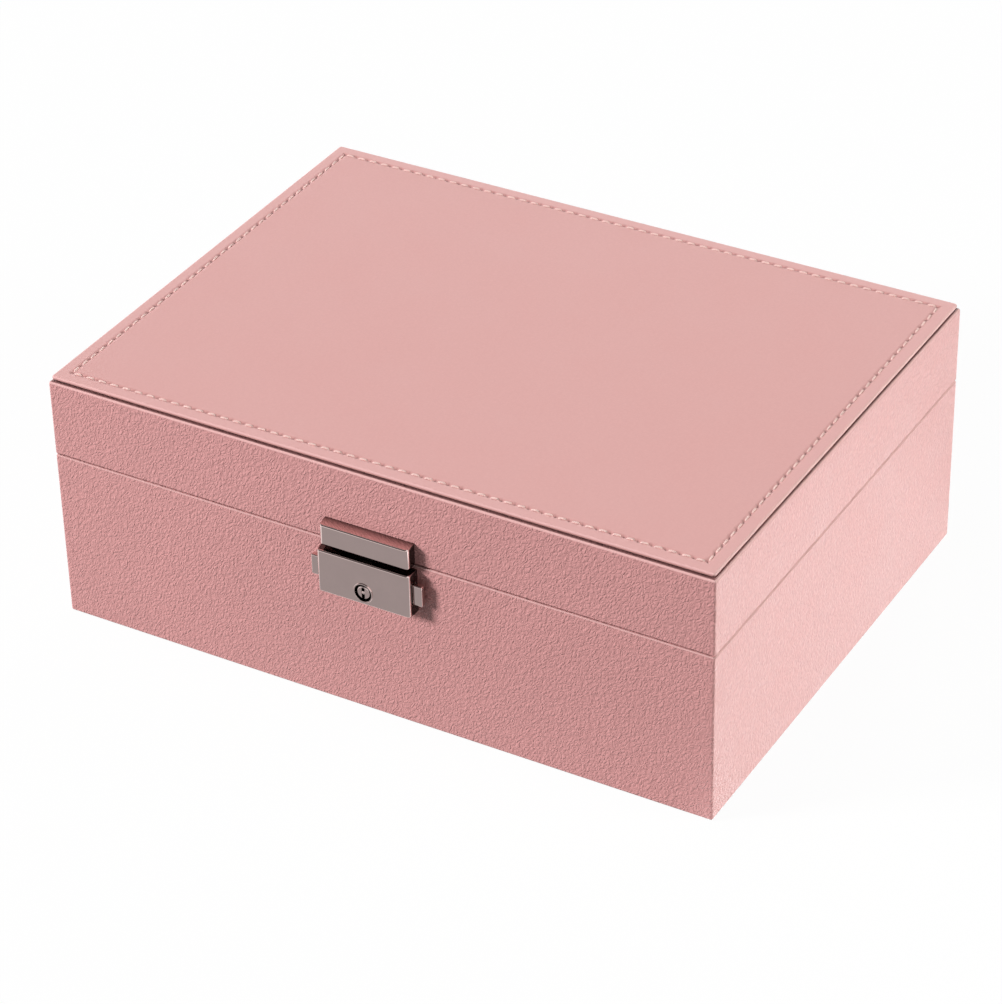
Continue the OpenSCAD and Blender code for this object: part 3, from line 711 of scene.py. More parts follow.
    def rings(self, edges: Sequence[BMEdge], centre: Point, radius: float,
              steps: Sequence[tuple[float, float]]) -> list[BMEdge]:
        """Draws a round loop across Y out to each radius and depth in turn.

        Args:
            edges: The loop.
            centre: Its centre.
            radius: Its radius.
            steps: The next radii and depths.

        Returns:
            The last loop.
        """
        middle, loop = Vector(centre), list(edges)
        for wide, depth in steps:
            made = bmesh.ops.extrude_edge_only(self.bm, edges=loop)["geom"]
            verts = [part for part in made if isinstance(part, BMVert)]
            fresh, ratio = set(verts), wide / radius
            loop = [part for part in made if isinstance(part, BMEdge) and set(part.verts) <= fresh]
            bmesh.ops.scale(self.bm, vec=(ratio, 1.0, ratio), space=Matrix.Translation(-middle), verts=verts)
            bmesh.ops.translate(self.bm, vec=(0.0, depth - middle.y, 0.0), verts=verts)
            radius, middle.y = wide, depth
        return loop

    def mark(self, layer: str, test: Callable[[Vector], bool], amount: float = 1.0) -> None:
        """Marks points in a layer that a finish looks up.

        Args:
            layer: The layer's name.
            test: Which points are marked, by their place.
            amount: How strongly they are marked.
        """
        layers = self.bm.verts.layers.float
        found = layers.get(layer) or layers.new(layer)
        for vert in self.bm.verts:
            if test(vert.co):
                vert[found] = amount

    def repeat(self, places: Iterable[Matrix]) -> None:
        """Puts a copy of everything made so far at each place, and drops the original.

        Args:
            places: Where the copies go.
        """
        master = [*self.bm.verts, *self.bm.edges, *self.bm.faces]
        for place in places:
            made = bmesh.ops.duplicate(self.bm, geom=master)["geom"]
            bmesh.ops.transform(self.bm, matrix=place, verts=[p for p in made if isinstance(p, BMVert)])
        bmesh.ops.delete(self.bm, geom=[p for p in master if isinstance(p, BMVert)], context="VERTS")

    def make(self, name: str, body: Body, finish: Finish, nodes: Sequence[str] = (),
             skin: float = 0.0) -> bpy.types.Object:
        """Turns the shape into a piece of the object.

        Args:
            name: The piece's name.
            body: The body that it rides on.
            finish: Its finish.
            nodes: The frame's nodes that it stands for.
            skin: Thickness that an open shell gets inwards.

        Returns:
            The piece.
        """
        bmesh.ops.scale(self.bm, vec=(MM, MM, MM), verts=self.bm.verts)
        mesh = bpy.data.meshes.new(name)
        self.bm.to_mesh(mesh)
        self.bm.free()
        mesh.shade_smooth()
        mesh.set_sharp_from_angle(angle=CREASE)
        mesh.materials.append(finish.material())
        piece = bpy.data.objects.new(name, mesh)
        bpy.context.scene.collection.objects.link(piece)
        if skin:
            solid = piece.modifiers.new("skin", "SOLIDIFY")
            solid.thickness, solid.offset = skin * MM, -1.0
        piece.modifiers.new("flat_faces", "WEIGHTED_NORMAL").keep_sharp = True
        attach(piece, body.value)
        if nodes:
            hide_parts(*nodes)
        LOG.info("%s: %d faces on %s", name, len(mesh.polygons), body.value)
        return piece


@dataclass
class LeatherShell:
    """The leather round the walls of the base or the lid, turned in at its rim and over at its back."""

    name: str
    node: str
    body: Body
    rim: Rim
    rim_round: float
    back_round: float = 0.75
    corner: float = 1.1
    corner_profile: float = 0.74
    wall: float = 5.3
    turn_in: float = 8.0
    flange: float = 12.9
    skin: float = 0.45
    # Strength and reach of the painted shade in the cleft under the top panel, lighter on the left and right
    # sides, and along the lid's front and back seam.
    cleft: float = 0.7
    side_cleft: float = 0.4
    cleft_reach: float = 0.06
    seam: float = 0.85
    seam_reach: float = 0.66

    def build(self) -> None:
        """Folds the leather round the walls."""
        low, high = box_mm(self.node)
        middle, facing = (low + high) / 2, self.rim.value * UP
        rim_z, back_z = (high.z, low.z) if self.rim is Rim.TOP else (low.z, high.z)
        shape = Shape(low, high)
        rim = shape.inset(shape.face_at((middle.x, middle.y, rim_z), facing), self.wall)
        shape.remove(shape.extrude([rim], facing * -self.turn_in))
        shape.remove([shape.inset(shape.face_at((middle.x, middle.y, back_z), -facing), self.flange)])
        shape.bevel(shape.sharp(lambda p: abs(p.z - middle.z) < 1.0), self.corner, 5, self.corner_profile)
        shape.bevel(shape.sharp(lambda p: abs(p.z - rim_z) < NEAR), self.rim_round, 4)
        shape.bevel(shape.sharp(lambda p: abs(p.z - back_z) < NEAR), self.back_round, 5)
        self.mark_folds(shape, low, high)
        shape.make(self.name, self.body, WALL_LEATHER, [self.node], self.skin)

    def mark_folds(self, shape: Shape, low: Vector, high: Vector) -> None:
        """Marks a painted highlight on the leather stretched over the upper edge, and painted shade in the
        cleft under the panel and along the lid's seam.

        Args:
            shape: The shell.
            low: Its lowest corner.
            high: Its highest corner.
        """
        roll = self.rim_round if self.rim is Rim.TOP else self.back_round
        # Painted highlight on the upper rolled edge.
        shape.mark("fold_highlight", lambda p: NEAR < high.z - p.z < roll - NEAR
                   and NEAR < min(high.x - abs(p.x), high.y - abs(p.y)) < roll)
        # Painted shade in the cleft under the panel and along the front and back seam.
        if self.rim is Rim.BOTTOM:
            top = high.z - self.back_round * self.cleft_reach
            shape.mark("painted_shade", lambda p: p.z > top, self.cleft)
            shape.mark("painted_shade", lambda p: p.z > top and high.x - abs(p.x) < high.y - abs(p.y),
                       self.side_cleft)
            shape.mark("painted_shade", lambda p: NEAR < p.z - low.z < self.rim_round * self.seam_reach
                       and high.y - abs(p.y) < self.rim_round
                       and high.x - abs(p.x) > self.corner - NEAR, self.seam)


@dataclass
class TopPanel:
    """The stitched leather panel on the lid, with its thread."""

    edge_roll: float = 0.64
    under_roll: float = 0.6
    shrink: float = 0.3
    corner: float = 1.0
    turn_under: float = 11.5
    skin: float = 0.45
    # Painted shade under the panel's edge, and a painted highlight on the border outside the stitches.
    cleft: float = 0.7
    cleft_reach: float = 0.2
    border_highlight: float = 0.22
    lip: float = 0.5
    channel: float = 0.75
    channel_sink: float = 0.28
    thread: float = 0.8
    pitch: float = 4.45
    steps: int = 8
    hole_sink: float = 0.32
    # Painted shade in and beside the needle holes.
    hole_dark: float = 0.6
    beside_dark: float = 0.12
    stitch_gap: float = 1.7
    stitch_radius: float = 0.36
    stitch_sink: float = 0.08
    stitch_tilt: float = math.radians(5)

    def line(self) -> tuple[float, float, float]:
        """Half the width and depth of the stitched rectangle, and the panel's level."""
        corner = box_mm("top_stitching")[1]
        return corner.x - self.thread / 2, corner.y - self.thread / 2, box_mm("top_cover")[1].z

    def runs(self) -> list[tuple[int, float, int]]:
        """The axis, half length and number of stitches of the long and the short runs."""
        half_w, half_d, _ = self.line()
        return [(axis, half, math.floor(2 * half / self.pitch)) for axis, half in ((0, half_w), (1, half_d))]

    def leather(self) -> None:
        """Presses a channel into the panel and pierces it at every stitch, with painted highlights on its
        rolled edge and border and painted shade under its edge.
        """
        low, high = box_mm("top_cover")
        shrink = Vector((self.shrink, self.shrink, 0.0))
        low, high = low + shrink, high - shrink
        half_w, half_d, level = self.line()
        halves, inset = (half_w, half_d), high.x - half_w
        shape = Shape(low, high)
        shape.remove([shape.inset(shape.face_at((0, 0, low.z), DOWN), self.turn_under)])
        top = shape.face_at((0, 0, level), UP)
        border = self.channel + self.lip
        widths = (inset - border, self.lip, self.channel, self.channel, self.lip)
        for width, rise in zip(widths, (0.0, 0.0, -self.channel_sink, self.channel_sink, 0.0)):
            top = shape.inset(top, width, rise)
        shape.bevel(shape.sharp(lambda p: abs(p.z - (low.z + high.z) / 2) < NEAR), self.corner, 4)
        shape.bevel(shape.sharp(lambda p: abs(p.z - level) < NEAR), self.edge_roll, 4)
        shape.bevel(shape.sharp(lambda p: abs(p.z - low.z) < NEAR), self.under_roll, 3)
        # Painted highlight on the rolled top edge and on the border outside the stitches.
        shape.mark("fold_highlight", lambda p: level - self.edge_roll < p.z < level - NEAR
                   and NEAR < min(high.x - abs(p.x), high.y - abs(p.y)) < 2.0)
        shape.mark("fold_highlight", lambda p: p.z > level - NEAR
                   and max(abs(p.x) - half_w, abs(p.y) - half_d) > border - NEAR, self.border_highlight)
        # Painted shade under the panel's edge.
        shape.mark("painted_shade", lambda p: p.z < low.z + self.under_roll * self.cleft_reach, self.cleft)
        for axis, _, count in self.runs():
            across = 1 - axis
            found = [edge for edge in shape.bm.edges
                     if abs(edge.verts[0].co[across] - edge.verts[1].co[across]) < WELD
                     and all(abs(abs(vert.co[across]) - halves[across]) < border + NEAR
                             and vert.co.z > level - 0.5 for vert in edge.verts)
                     and edge.calc_length() > halves[axis]]
            bmesh.ops.subdivide_edges(shape.bm, edges=found, cuts=count * self.steps - 1)
        self.pierce(shape)
        shape.make("top_panel_leather", Body.LID, TOP_LEATHER, ["top_cover"], self.skin)

    def pierce(self, shape: Shape) -> None:
        """Sinks the leather at the needle holes and paints shade into and beside them.

        Args:
            shape: The panel, cut finely along its channel.
        """
        half_w, half_d, level = self.line()
        halves, mark = (half_w, half_d), shape.bm.verts.layers.float["painted_shade"]
        holes: list[BMVert] = []
        for axis, half, count in self.runs():
            across, step = 1 - axis, 2 * half / count
            for vert in shape.bm.verts:
                along = (vert.co[axis] + half) / step
                if (abs(abs(vert.co[across]) - halves[across]) < NEAR and vert.co.z > level - 0.5
                        and abs(along - round(along)) < 0.02 and -0.1 < along < count + 0.1):
                    holes.append(vert)
        bmesh.ops.translate(shape.bm, vec=(0, 0, -self.hole_sink), verts=list(set(holes)))
        for vert in holes:
            vert[mark] = self.hole_dark
            for edge in vert.link_edges:
                other = edge.other_vert(vert)
                other[mark] = max(other[mark], self.beside_dark)

    def stitches(self) -> None:
        """Sews one bent stitch from hole to hole, all round."""
        half_w, half_d, level = self.line()
        _, half, count = self.runs()[0]
        reach, radius = (2 * half / count - self.stitch_gap) / 2, self.stitch_radius
        rings = ((-1.0, 0.0, -0.30), (-0.95, 0.55, -0.24), (-0.75, 0.92, -0.04), (-0.35, 1.0, 0.05),
                 (0.35, 1.0, 0.05), (0.75, 0.92, -0.04), (0.95, 0.55, -0.24), (1.0, 0.0, -0.30))
        shape = Shape()
        shape.turned([(radius * wide, reach * at) for at, wide, _ in rings], (0, 0, 0), RIGHT, 8)
        shape.close()
        bmesh.ops.scale(shape.bm, vec=(1.0, 1.0, 0.8), verts=shape.bm.verts)
        for at, _, rise in rings:
            ring = [vert for vert in shape.bm.verts if abs(vert.co.x - reach * at) < WELD]
            bmesh.ops.translate(shape.bm, vec=(0, 0, rise), verts=ring)
        places = []
        for axis, half, count in self.runs():
            step, offset = 2 * half / count, (half_w, half_d)[1 - axis]
            turn = Matrix.Rotation(self.stitch_tilt + axis * math.pi / 2, 4, "Z")
            for side in (-1, 1):
                for number in range(count):
                    spot = [0.0, 0.0, level - self.stitch_sink]
                    spot[axis], spot[1 - axis] = -half + (number + 0.5) * step, side * offset
                    places.append(Matrix.Translation(spot) @ turn)
        shape.repeat(places)
        shape.make("top_stitches", Body.LID, THREAD, ["top_stitching"])


@dataclass
class Lock:
    """The squeeze lock: case, key cylinder, two buttons, and the hasp with its tongue."""

    edge: float = 0.5
    upright_edge: float = 1.2
    fine_edge: float = 0.1
    keyway_edge: float = 0.08
    head_edge: float = 0.35
    tongue_edge: float = 0.15
    key_clear: float = 6.0
    wall: float = 1.2
    back_plate: float = 0.8
    lip: float = 0.25
    lip_width: float = 0.5
    bore: float = 2.9
    plug: float = 2.84
    plug_face: float = 2.3
    tail: float = 1.0
    keyway: tuple[float, float, float] = (1.1, 3.82, 1.6)
    pin: float = 0.6
    slide: float = 0.25
    slider: tuple[float, float] = (14.75, 10.9)
    head_half: float = 3.5
    head_room: tuple[float, float] = (0.8, 0.6)
    catch: tuple[float, float] = (4.3, 5.5)
    arm: float = 0.6
    catch_height: float = 1.2
    hasp_fall: float = 0.5
    tongue_gap: float = 0.4
    tongue_foot: float = 1.2
    tongue_shoulder: float = 1.8
    # How dark the painted shade on the sides and hidden faces is, and how far behind the front it starts.
    shade: float = 0.88
    shade_from: float = 0.6

    def levels(self) -> tuple[float, float, Vector]:
        """The leather's and the case's front, and the key's centre on that front."""
        leather, front = box_mm("base_cover")[0].y, box_mm("lock_case")[0].y + self.lip
        return leather, front, Vector((0.0, front, joint_mm("key_turn").z))

    def case(self) -> None:
        """Casts the hollow case with its bore, tongue slot and button openings."""
        leather, front, key = self.levels()
        low, high = box_mm("lock_case")
        wall, well = self.wall, front + self.wall
        shape = Shape((low.x, front, low.z), (high.x, leather, high.z))
        back = shape.inset(shape.face_at((0, leather, (low.z + high.z) / 2), BACK), wall)
        shape.extrude([back], FRONT * (leather - well))
        self.round_off(shape, low, high, front)
        tongue_low, tongue_high = box_mm("hasp_tongue")
        gap = Vector((self.tongue_gap, self.tongue_gap, 0.0))
        shape.through(UP, (high.z, high.z - wall), tongue_low - gap, tongue_high + gap)
        for node, facing, outer in (("button_left", LEFT, low.x), ("button_right", RIGHT, high.x)):
            head_low, head_high = self.head(node)
            shape.through(facing, (outer, outer - facing.x * wall),
                          (0, head_low.y - self.slide, head_low.z - self.slide),
                          (0, head_high.y + self.slide, head_high.z + self.slide))
        self.bored(shape, key, well)
        shape.close()
        shape.bevel(shape.sharp(lambda p: (p - key).length > self.key_clear), self.fine_edge, 2)
        # Painted shade in the ring round the key plug, on the top behind the front, and on both sides, which
        # mirror the leather's shadow.
        shape.mark("painted_metal_shade", lambda p: (p - key).xz.length < self.bore + 0.05 and p.y > key.y - 0.14)
        shape.mark("painted_metal_shade", lambda p: p.z > high.z - NEAR and p.y > front + self.shade_from
                   or abs(p.x) > high.x - NEAR, self.shade)
        shape.make("lock_body", Body.BASE, NICKEL, ["lock_case"])

    def round_off(self, shape: Shape, low: Vector, high: Vector, front: float) -> None:
        """Rounds a block's outer edges off, most of all the two upright ones in front.

        Args:
            shape: The block.
            low: Its lowest corner.
            high: Its highest corner.
            front: Where its front face is.
        """
        middle = (low.z + high.z) / 2
        shape.bevel(shape.sharp(lambda p: p.y < front + 0.1 and abs(p.z - middle) < 1.0 and abs(p.x) > 1.0),
                    self.upright_edge, 5)
        shape.bevel(shape.sharp(lambda p: p.y < front + 0.1 + self.upright_edge
                                and not low.z + 1 < p.z < high.z - 1, angle=40.0), self.edge, 3)

    def bored(self, shape: Shape, key: Vector, well: float) -> None:
        """Bores the case for the key cylinder, with a lip round the hole.

        Args:
            shape: The case.
            key: Centre of the bore on the case's front.
            well: Where the front wall's inner face is.
        """
        rim, sides, half = self.bore + self.lip_width, 32, self.bore + self.lip_width + 0.3
        spread = Vector((half, 0, half))
        loop = shape.circle(key, rim, sides)
        steps = ((rim, key.y - 0.15), (rim - 0.1, key.y - self.lip), (self.bore + 0.1, key.y - self.lip),
                 (self.bore, key.y - 0.13), (self.bore, well))
        inner = shape.rings(loop, key, rim, steps)
        for level, facing, round_edges in ((key.y, FRONT, loop), (well, BACK, inner)):
            face = shape.window((key.x, level, key.z), facing, key - spread, key + spread)
            square = list(face.edges)
            shape.remove([face])
            cut = bmesh.ops.subdivide_edges(shape.bm, edges=square, cuts=sides // 4 - 1)["geom_split"]
            bmesh.ops.bridge_loops(shape.bm, edges=[e for e in cut if isinstance(e, BMEdge)] + round_edges)

    def cylinder(self) -> None:
        """Turns the key cylinder and cuts its keyway round a centre pin."""
        leather, front, key = self.levels()
        face_y, step_y = front + 0.05, front + self.wall
        cam_y = box_mm("lock_cam")[0].y
        centre = Vector((key.x, face_y, key.z))
        wide, tall, deep = self.keyway
        shape = Shape()
        disc, plug, tail = self.plug_face, self.plug, self.tail
        chamfer = disc - 0.45
        shape.circle(centre, chamfer, 32, filled=True)
        bmesh.ops.recalc_face_normals(shape.bm, faces=shape.bm.faces)
        if shape.bm.faces[:][0].normal.y > 0:
            bmesh.ops.reverse_faces(shape.bm, faces=shape.bm.faces)
        rim = list(shape.bm.edges)
        steps = ((disc - 0.12, face_y + 0.12), (disc, face_y + 0.3), (disc, step_y), (plug, step_y),
                 (plug, cam_y), (tail, cam_y), (tail, leather - 0.1))
        shape.rings(rim, centre, chamfer, steps)
        bmesh.ops.edgeloop_fill(shape.bm, edges=[edge for edge in shape.bm.edges if edge.is_boundary])
        slot = Vector((wide / 2, 0, tall / 2))
        shape.extrude([shape.window(centre, FRONT, centre - slot, centre + slot)], BACK * deep)
        shape.close()
        keyway = shape.sharp(lambda p: p.y < step_y and (p - centre).length < disc - 0.2)
        shape.bevel(keyway, self.keyway_edge, 2)
        sides = [face for face in shape.bm.faces if abs(face.normal.y) < 0.1
                 and (face.calc_center_median() - centre).length < disc - 0.1]
        shape.score(sides, 1, face_y + 0.31)
        # Painted shade on the keyway and the plug behind its face.
        shape.mark("painted_metal_shade", lambda p: p.y > face_y + 0.29)
        pin = self.pin
        shape.turned([(0, -0.04), (pin - 0.2, -0.04), (pin, 0.12), (pin, deep), (0, deep)], centre, BACK, 16)
        shape.close()
        shape.make("lock_key_cylinder", Body.KEY, NICKEL, ["lock_plug"])

    def head(self, node: str) -> tuple[Vector, Vector]:
        """Where a button's head leaves the case.

        Args:
            node: The button's node.

        Returns:
            The head's lowest and highest corner.
        """
        (low, high), (leather, face, _) = box_mm(node), self.levels()
        front, back = face + self.wall + self.head_room[0], leather - self.back_plate - self.head_room[1]
        middle = sum(corner.z for corner in box_mm("lock_case")) / 2
        bottom, top = middle - self.head_half, middle + self.head_half
        return Vector((low.x, front, bottom)), Vector((high.x, back, top))

    def button(self, node: str, body: Body, arm_y: float) -> None:
        """Builds a button with its slider and arm from one plan.

        Args:
            node: The button's node.
            body: The body that it rides on.
            arm_y: Where its arm starts.
        """
        low, high = box_mm(node)
        head_low, head_high = self.head(node)
        side = -1.0 if body is Body.LEFT_BUTTON else 1.0
        tip = max(abs(low.x), abs(high.x))
        out, inner = self.slider
        near, far = self.catch
        tongue = box_mm("hasp_tongue")
        arm_end = arm_y + self.arm
        front, back = head_low.y, head_high.y
        if arm_end > back:
            plan = [(tip, front), (inner, front), (inner, arm_y), (-near, arm_y), (-near, tongue[0].y),
                    (-far, tongue[0].y), (-far, arm_end), (inner + 1, arm_end), (inner + 1, back),
                    (tip, back)]
        else:
            plan = [(tip, front), (inner + 1, front), (inner + 1, arm_y), (-far, arm_y), (-far, tongue[1].y),
                    (-near, tongue[1].y), (-near, arm_end), (inner, arm_end), (inner, back), (tip, back)]
        catch_z = tongue[0].z + self.tongue_foot + self.slide
        shape = Shape()
        plate = shape.outline([(side * x, y, catch_z) for x, y in plan])
        shape.extrude([plate], UP * self.catch_height)
        shape.close()
        top_z = catch_z + self.catch_height
        middle_y = (front + back) / 2
        for level in (top_z, catch_z):
            for x in (out, inner):
                flat = [face for face in shape.bm.faces if abs(face.calc_center_median().z - level) < NEAR]
                shape.score(flat, 0, side * x)
        upper = shape.face_at((side * (tip + out) / 2, middle_y, top_z), UP)
        shape.extrude([upper], UP * (head_high.z - top_z))
        under = [shape.face_at((side * (a + b) / 2, middle_y, catch_z), DOWN)
                 for a, b in ((tip, out), (out, inner))]
        shape.extrude(under, DOWN * (catch_z - head_low.z))
        slider = shape.face_at((side * (out + inner) / 2, middle_y, head_low.z), DOWN)
        shape.extrude([slider], DOWN * (head_low.z - low.z))
        shape.close()
        shape.bevel(shape.sharp(lambda p: abs(p.x) > out + 0.5), self.head_edge, 3)
        shape.make(node + "_head_and_slider", body, NICKEL, [node])

    def hasp(self) -> None:
        """Builds the hasp's block, whose top falls towards the front."""
        low, high = box_mm("hasp_block")
        shape = Shape()
        corners = shape.block(low, high)
        edge = [vert for vert in corners if vert.co.y < low.y + NEAR and vert.co.z > high.z - NEAR]
        bmesh.ops.translate(shape.bm, vec=(0, 0, -self.hasp_fall), verts=edge)
        self.round_off(shape, low, high, low.y)
        # Painted shade under the hasp behind its front, and on both sides, which mirror the leather's shadow.
        shape.mark("painted_metal_shade", lambda p: p.z < low.z + NEAR and p.y > low.y + self.shade_from
                   or abs(p.x) > high.x - NEAR, self.shade)
        shape.make("hasp_body", Body.LID, NICKEL, ["hasp_block"])

    def tongue(self) -> None:
        """Stamps the T-shaped tongue."""
        low, high = box_mm("hasp_tongue")
        neck, step = high.x - self.tongue_shoulder, low.z + self.tongue_foot
        plan = [(low.x, low.z), (high.x, low.z), (high.x, step), (neck, step), (neck, high.z),
                (-neck, high.z), (-neck, step), (low.x, step)]
        shape = Shape()
        plate = shape.outline([(x, low.y, z) for x, z in plan])
        shape.extrude([plate], BACK * (high.y - low.y))
        shape.close()
        shape.bevel(shape.sharp(), self.tongue_edge, 2)
        # Its steel is painted near black as shade in the gap.
        shape.make("hasp_tongue_plate", Body.LID, STEEL_PAINTED_AS_SHADE, ["hasp_tongue"])

    def build(self) -> None:
        """Builds every piece of the lock that is seen."""
        leather, front, _ = self.levels()
        self.case()
        self.cylinder()
        self.button("button_left", Body.LEFT_BUTTON, leather - self.back_plate - self.slide - self.arm)
        self.button("button_right", Body.RIGHT_BUTTON, front + self.wall + self.slide)
        self.hasp()
        self.tongue()


@dataclass
class Hinges:
    """Two rolled hinges on the back, with their pins and screws."""

    leaf: float = 1.0
    near: float = 2.3
    knuckle: float = 8.0
    gap: float = 0.3
    roll: float = 2.05
    roll_turn: float = math.radians(285)
    roll_steps: int = 19
    jog_share: float = 0.6
    leaf_edge: float = 0.12
    corner: float = 2.2
    heel: float = 1.6
    heel_rise: float = math.radians(10)
    pin: float = 1.0
    pin_end: float = 0.3
    screw_inset: float = 4.5
    screw_head: float = 1.8
    screw_shank: float = 0.9
    cross: tuple[float, float] = (0.2, 0.8)
    cross_depth: float = 0.5

    def leaf_plate(self, node: str, half: Half, body: Body) -> None:
        """Rolls one leaf's knuckles round the pin.

        Args:
            node: The leaf's node.
            half: Which leaf it is.
            body: The body that it rides on.
        """
        low, high = box_mm(node)
        axis, side, back = joint_mm("lid_hinge"), half.value, box_mm("base_cover")[1].y
        middle, near = (low.x + high.x) / 2, axis.z + side * self.near
        far = low.z if half is Half.BASE else high.z
        shape = Shape((low.x, back, min(near, far)), (high.x, back + self.leaf, max(near, far)))
        ends = [edge for edge in shape.bm.edges if all(abs(vert.co.z - far) < WELD for vert in edge.verts)
                and abs(edge.verts[0].co.y - edge.verts[1].co.y) > self.leaf / 2]
        shape.bevel(ends, self.corner, 5)
        inner = (high.x - low.x) / 2 - self.knuckle
        reach = inner - self.gap
        spans = [(low.x, middle - inner), (middle + inner, high.x)]
        if half is Half.LID:
            spans = [(middle - reach, middle + reach)]
        toward = DOWN * side
        for start, end in spans:
            spot = ((start + end) / 2, back + self.leaf / 2, near)
            face = shape.window(spot, toward, (start, back, 0), (end, back + self.leaf, 0))
            jog = axis.y - self.roll - back
            (face,) = shape.extrude([face], toward * self.near * self.jog_share + BACK * jog)
            (face,) = shape.extrude([face], toward * self.near * (1.0 - self.jog_share))
            bmesh.ops.spin(shape.bm, geom=[face, *face.edges, *face.verts], cent=axis, axis=RIGHT,
                           angle=side * self.roll_turn, steps=self.roll_steps)
        shape.close()
        if half is Half.LID:
            self.add_heel(shape, axis)
        shape.bevel(shape.sharp(angle=70.0), self.leaf_edge, 2)
        shape.make(node + "_rolled", body, NICKEL, [node])

    def add_heel(self, shape: Shape, axis: Vector) -> None:
        """Draws the heel that stops the lid out of the middle knuckle.

        Args:
            shape: The lid's leaf.
            axis: A point on the hinge's axis.
        """
        shape.bm.normal_update()
        found = []
        for face in shape.bm.faces:
            spot = face.calc_center_median() - axis
            if spot.y > self.roll * 0.9 and abs(spot.z) < 0.5 and face.normal.y > 0.9:
                found.append(face)
        rise = Vector((0, math.cos(self.heel_rise), math.sin(self.heel_rise)))
        shape.extrude(found, rise * self.heel)

    def pins(self) -> None:
        """Turns the two pins."""
        axis, (low, high) = joint_mm("lid_hinge"), box_mm("hinge_base_leaf_left")
        half, middle = (high.x - low.x) / 2, (low.x + high.x) / 2
        shape = Shape()
        tip, end = self.pin - self.pin_end, half - self.pin_end
        shape.turned([(0, -half), (tip, -half), (self.pin, -end), (self.pin, end), (tip, half), (0, half)],
                     (0, axis.y, axis.z), RIGHT, 20)
        shape.close()
        shape.repeat(Matrix.Translation((x, 0, 0)) for x in (middle, -middle))
        shape.make("hinge_pin_rods", Body.BASE, STEEL, ["hinge_pins"])

    def screws(self, node: str, body: Body) -> None:
        """Turns the cross-head screws of one leaf of both hinges.

        Args:
            node: The screws' node.
            body: The body that they ride on.
        """
        low, high = box_mm(node)
        head, shank, (bar, arm) = self.screw_head, self.screw_shank, self.cross
        shape = Shape()
        outline = [(0, low.y), (shank, low.y + shank), (shank, high.y - 0.8), (head, high.y),
                   (head * 0.97, high.y + 0.1), (head * 0.8, high.y + 0.22), (head * 0.6, high.y + 0.26)]
        shape.turned(outline, (0, 0, 0), BACK, 20)
        shape.close()
        bmesh.ops.edgeloop_fill(shape.bm, edges=[edge for edge in shape.bm.edges if edge.is_boundary])
        shape.close()
        for axis in (0, 2):
            for level in (-arm, -bar, bar, arm):
                shape.score(self.cap(shape), axis, level)
        cross = [face for face in self.cap(shape)
                 if sorted(abs(face.calc_center_median()[axis]) for axis in (0, 2))[0] < bar
                 and face.calc_center_median().xz.length < arm]
        shape.extrude(cross, FRONT * self.cross_depth)
        shape.repeat(Matrix.Translation((x, 0, (low.z + high.z) / 2)) for x in self.screw_places())
        shape.make(node + "_cross_head", body, STEEL, [node])

    @staticmethod
    def cap(shape: Shape) -> list[BMFace]:
        """Finds the flat faces on top of a screw's head.

        Args:
            shape: The screw.

        Returns:
            Those faces.
        """
        shape.bm.normal_update()
        top = max(vert.co.y for vert in shape.bm.verts)
        return [face for face in shape.bm.faces if face.calc_center_median().y > top - NEAR]

    def screw_places(self) -> list[float]:
        """Where the screws of one leaf of both hinges are.

        Returns:
            Their places along X.
        """
        low, high = box_mm("hinge_base_leaf_left")
        near, far = low.x + self.screw_inset, high.x - self.screw_inset
        return [near, far, -near, -far]

    def build(self) -> None:
        """Builds both hinges."""
        for half, body, name in ((Half.BASE, Body.BASE, "base"), (Half.LID, Body.LID, "lid")):
            for side in ("left", "right"):
                self.leaf_plate(f"hinge_{name}_leaf_{side}", half, body)
            self.screws(f"hinge_screws_{name}", body)
        self.pins()


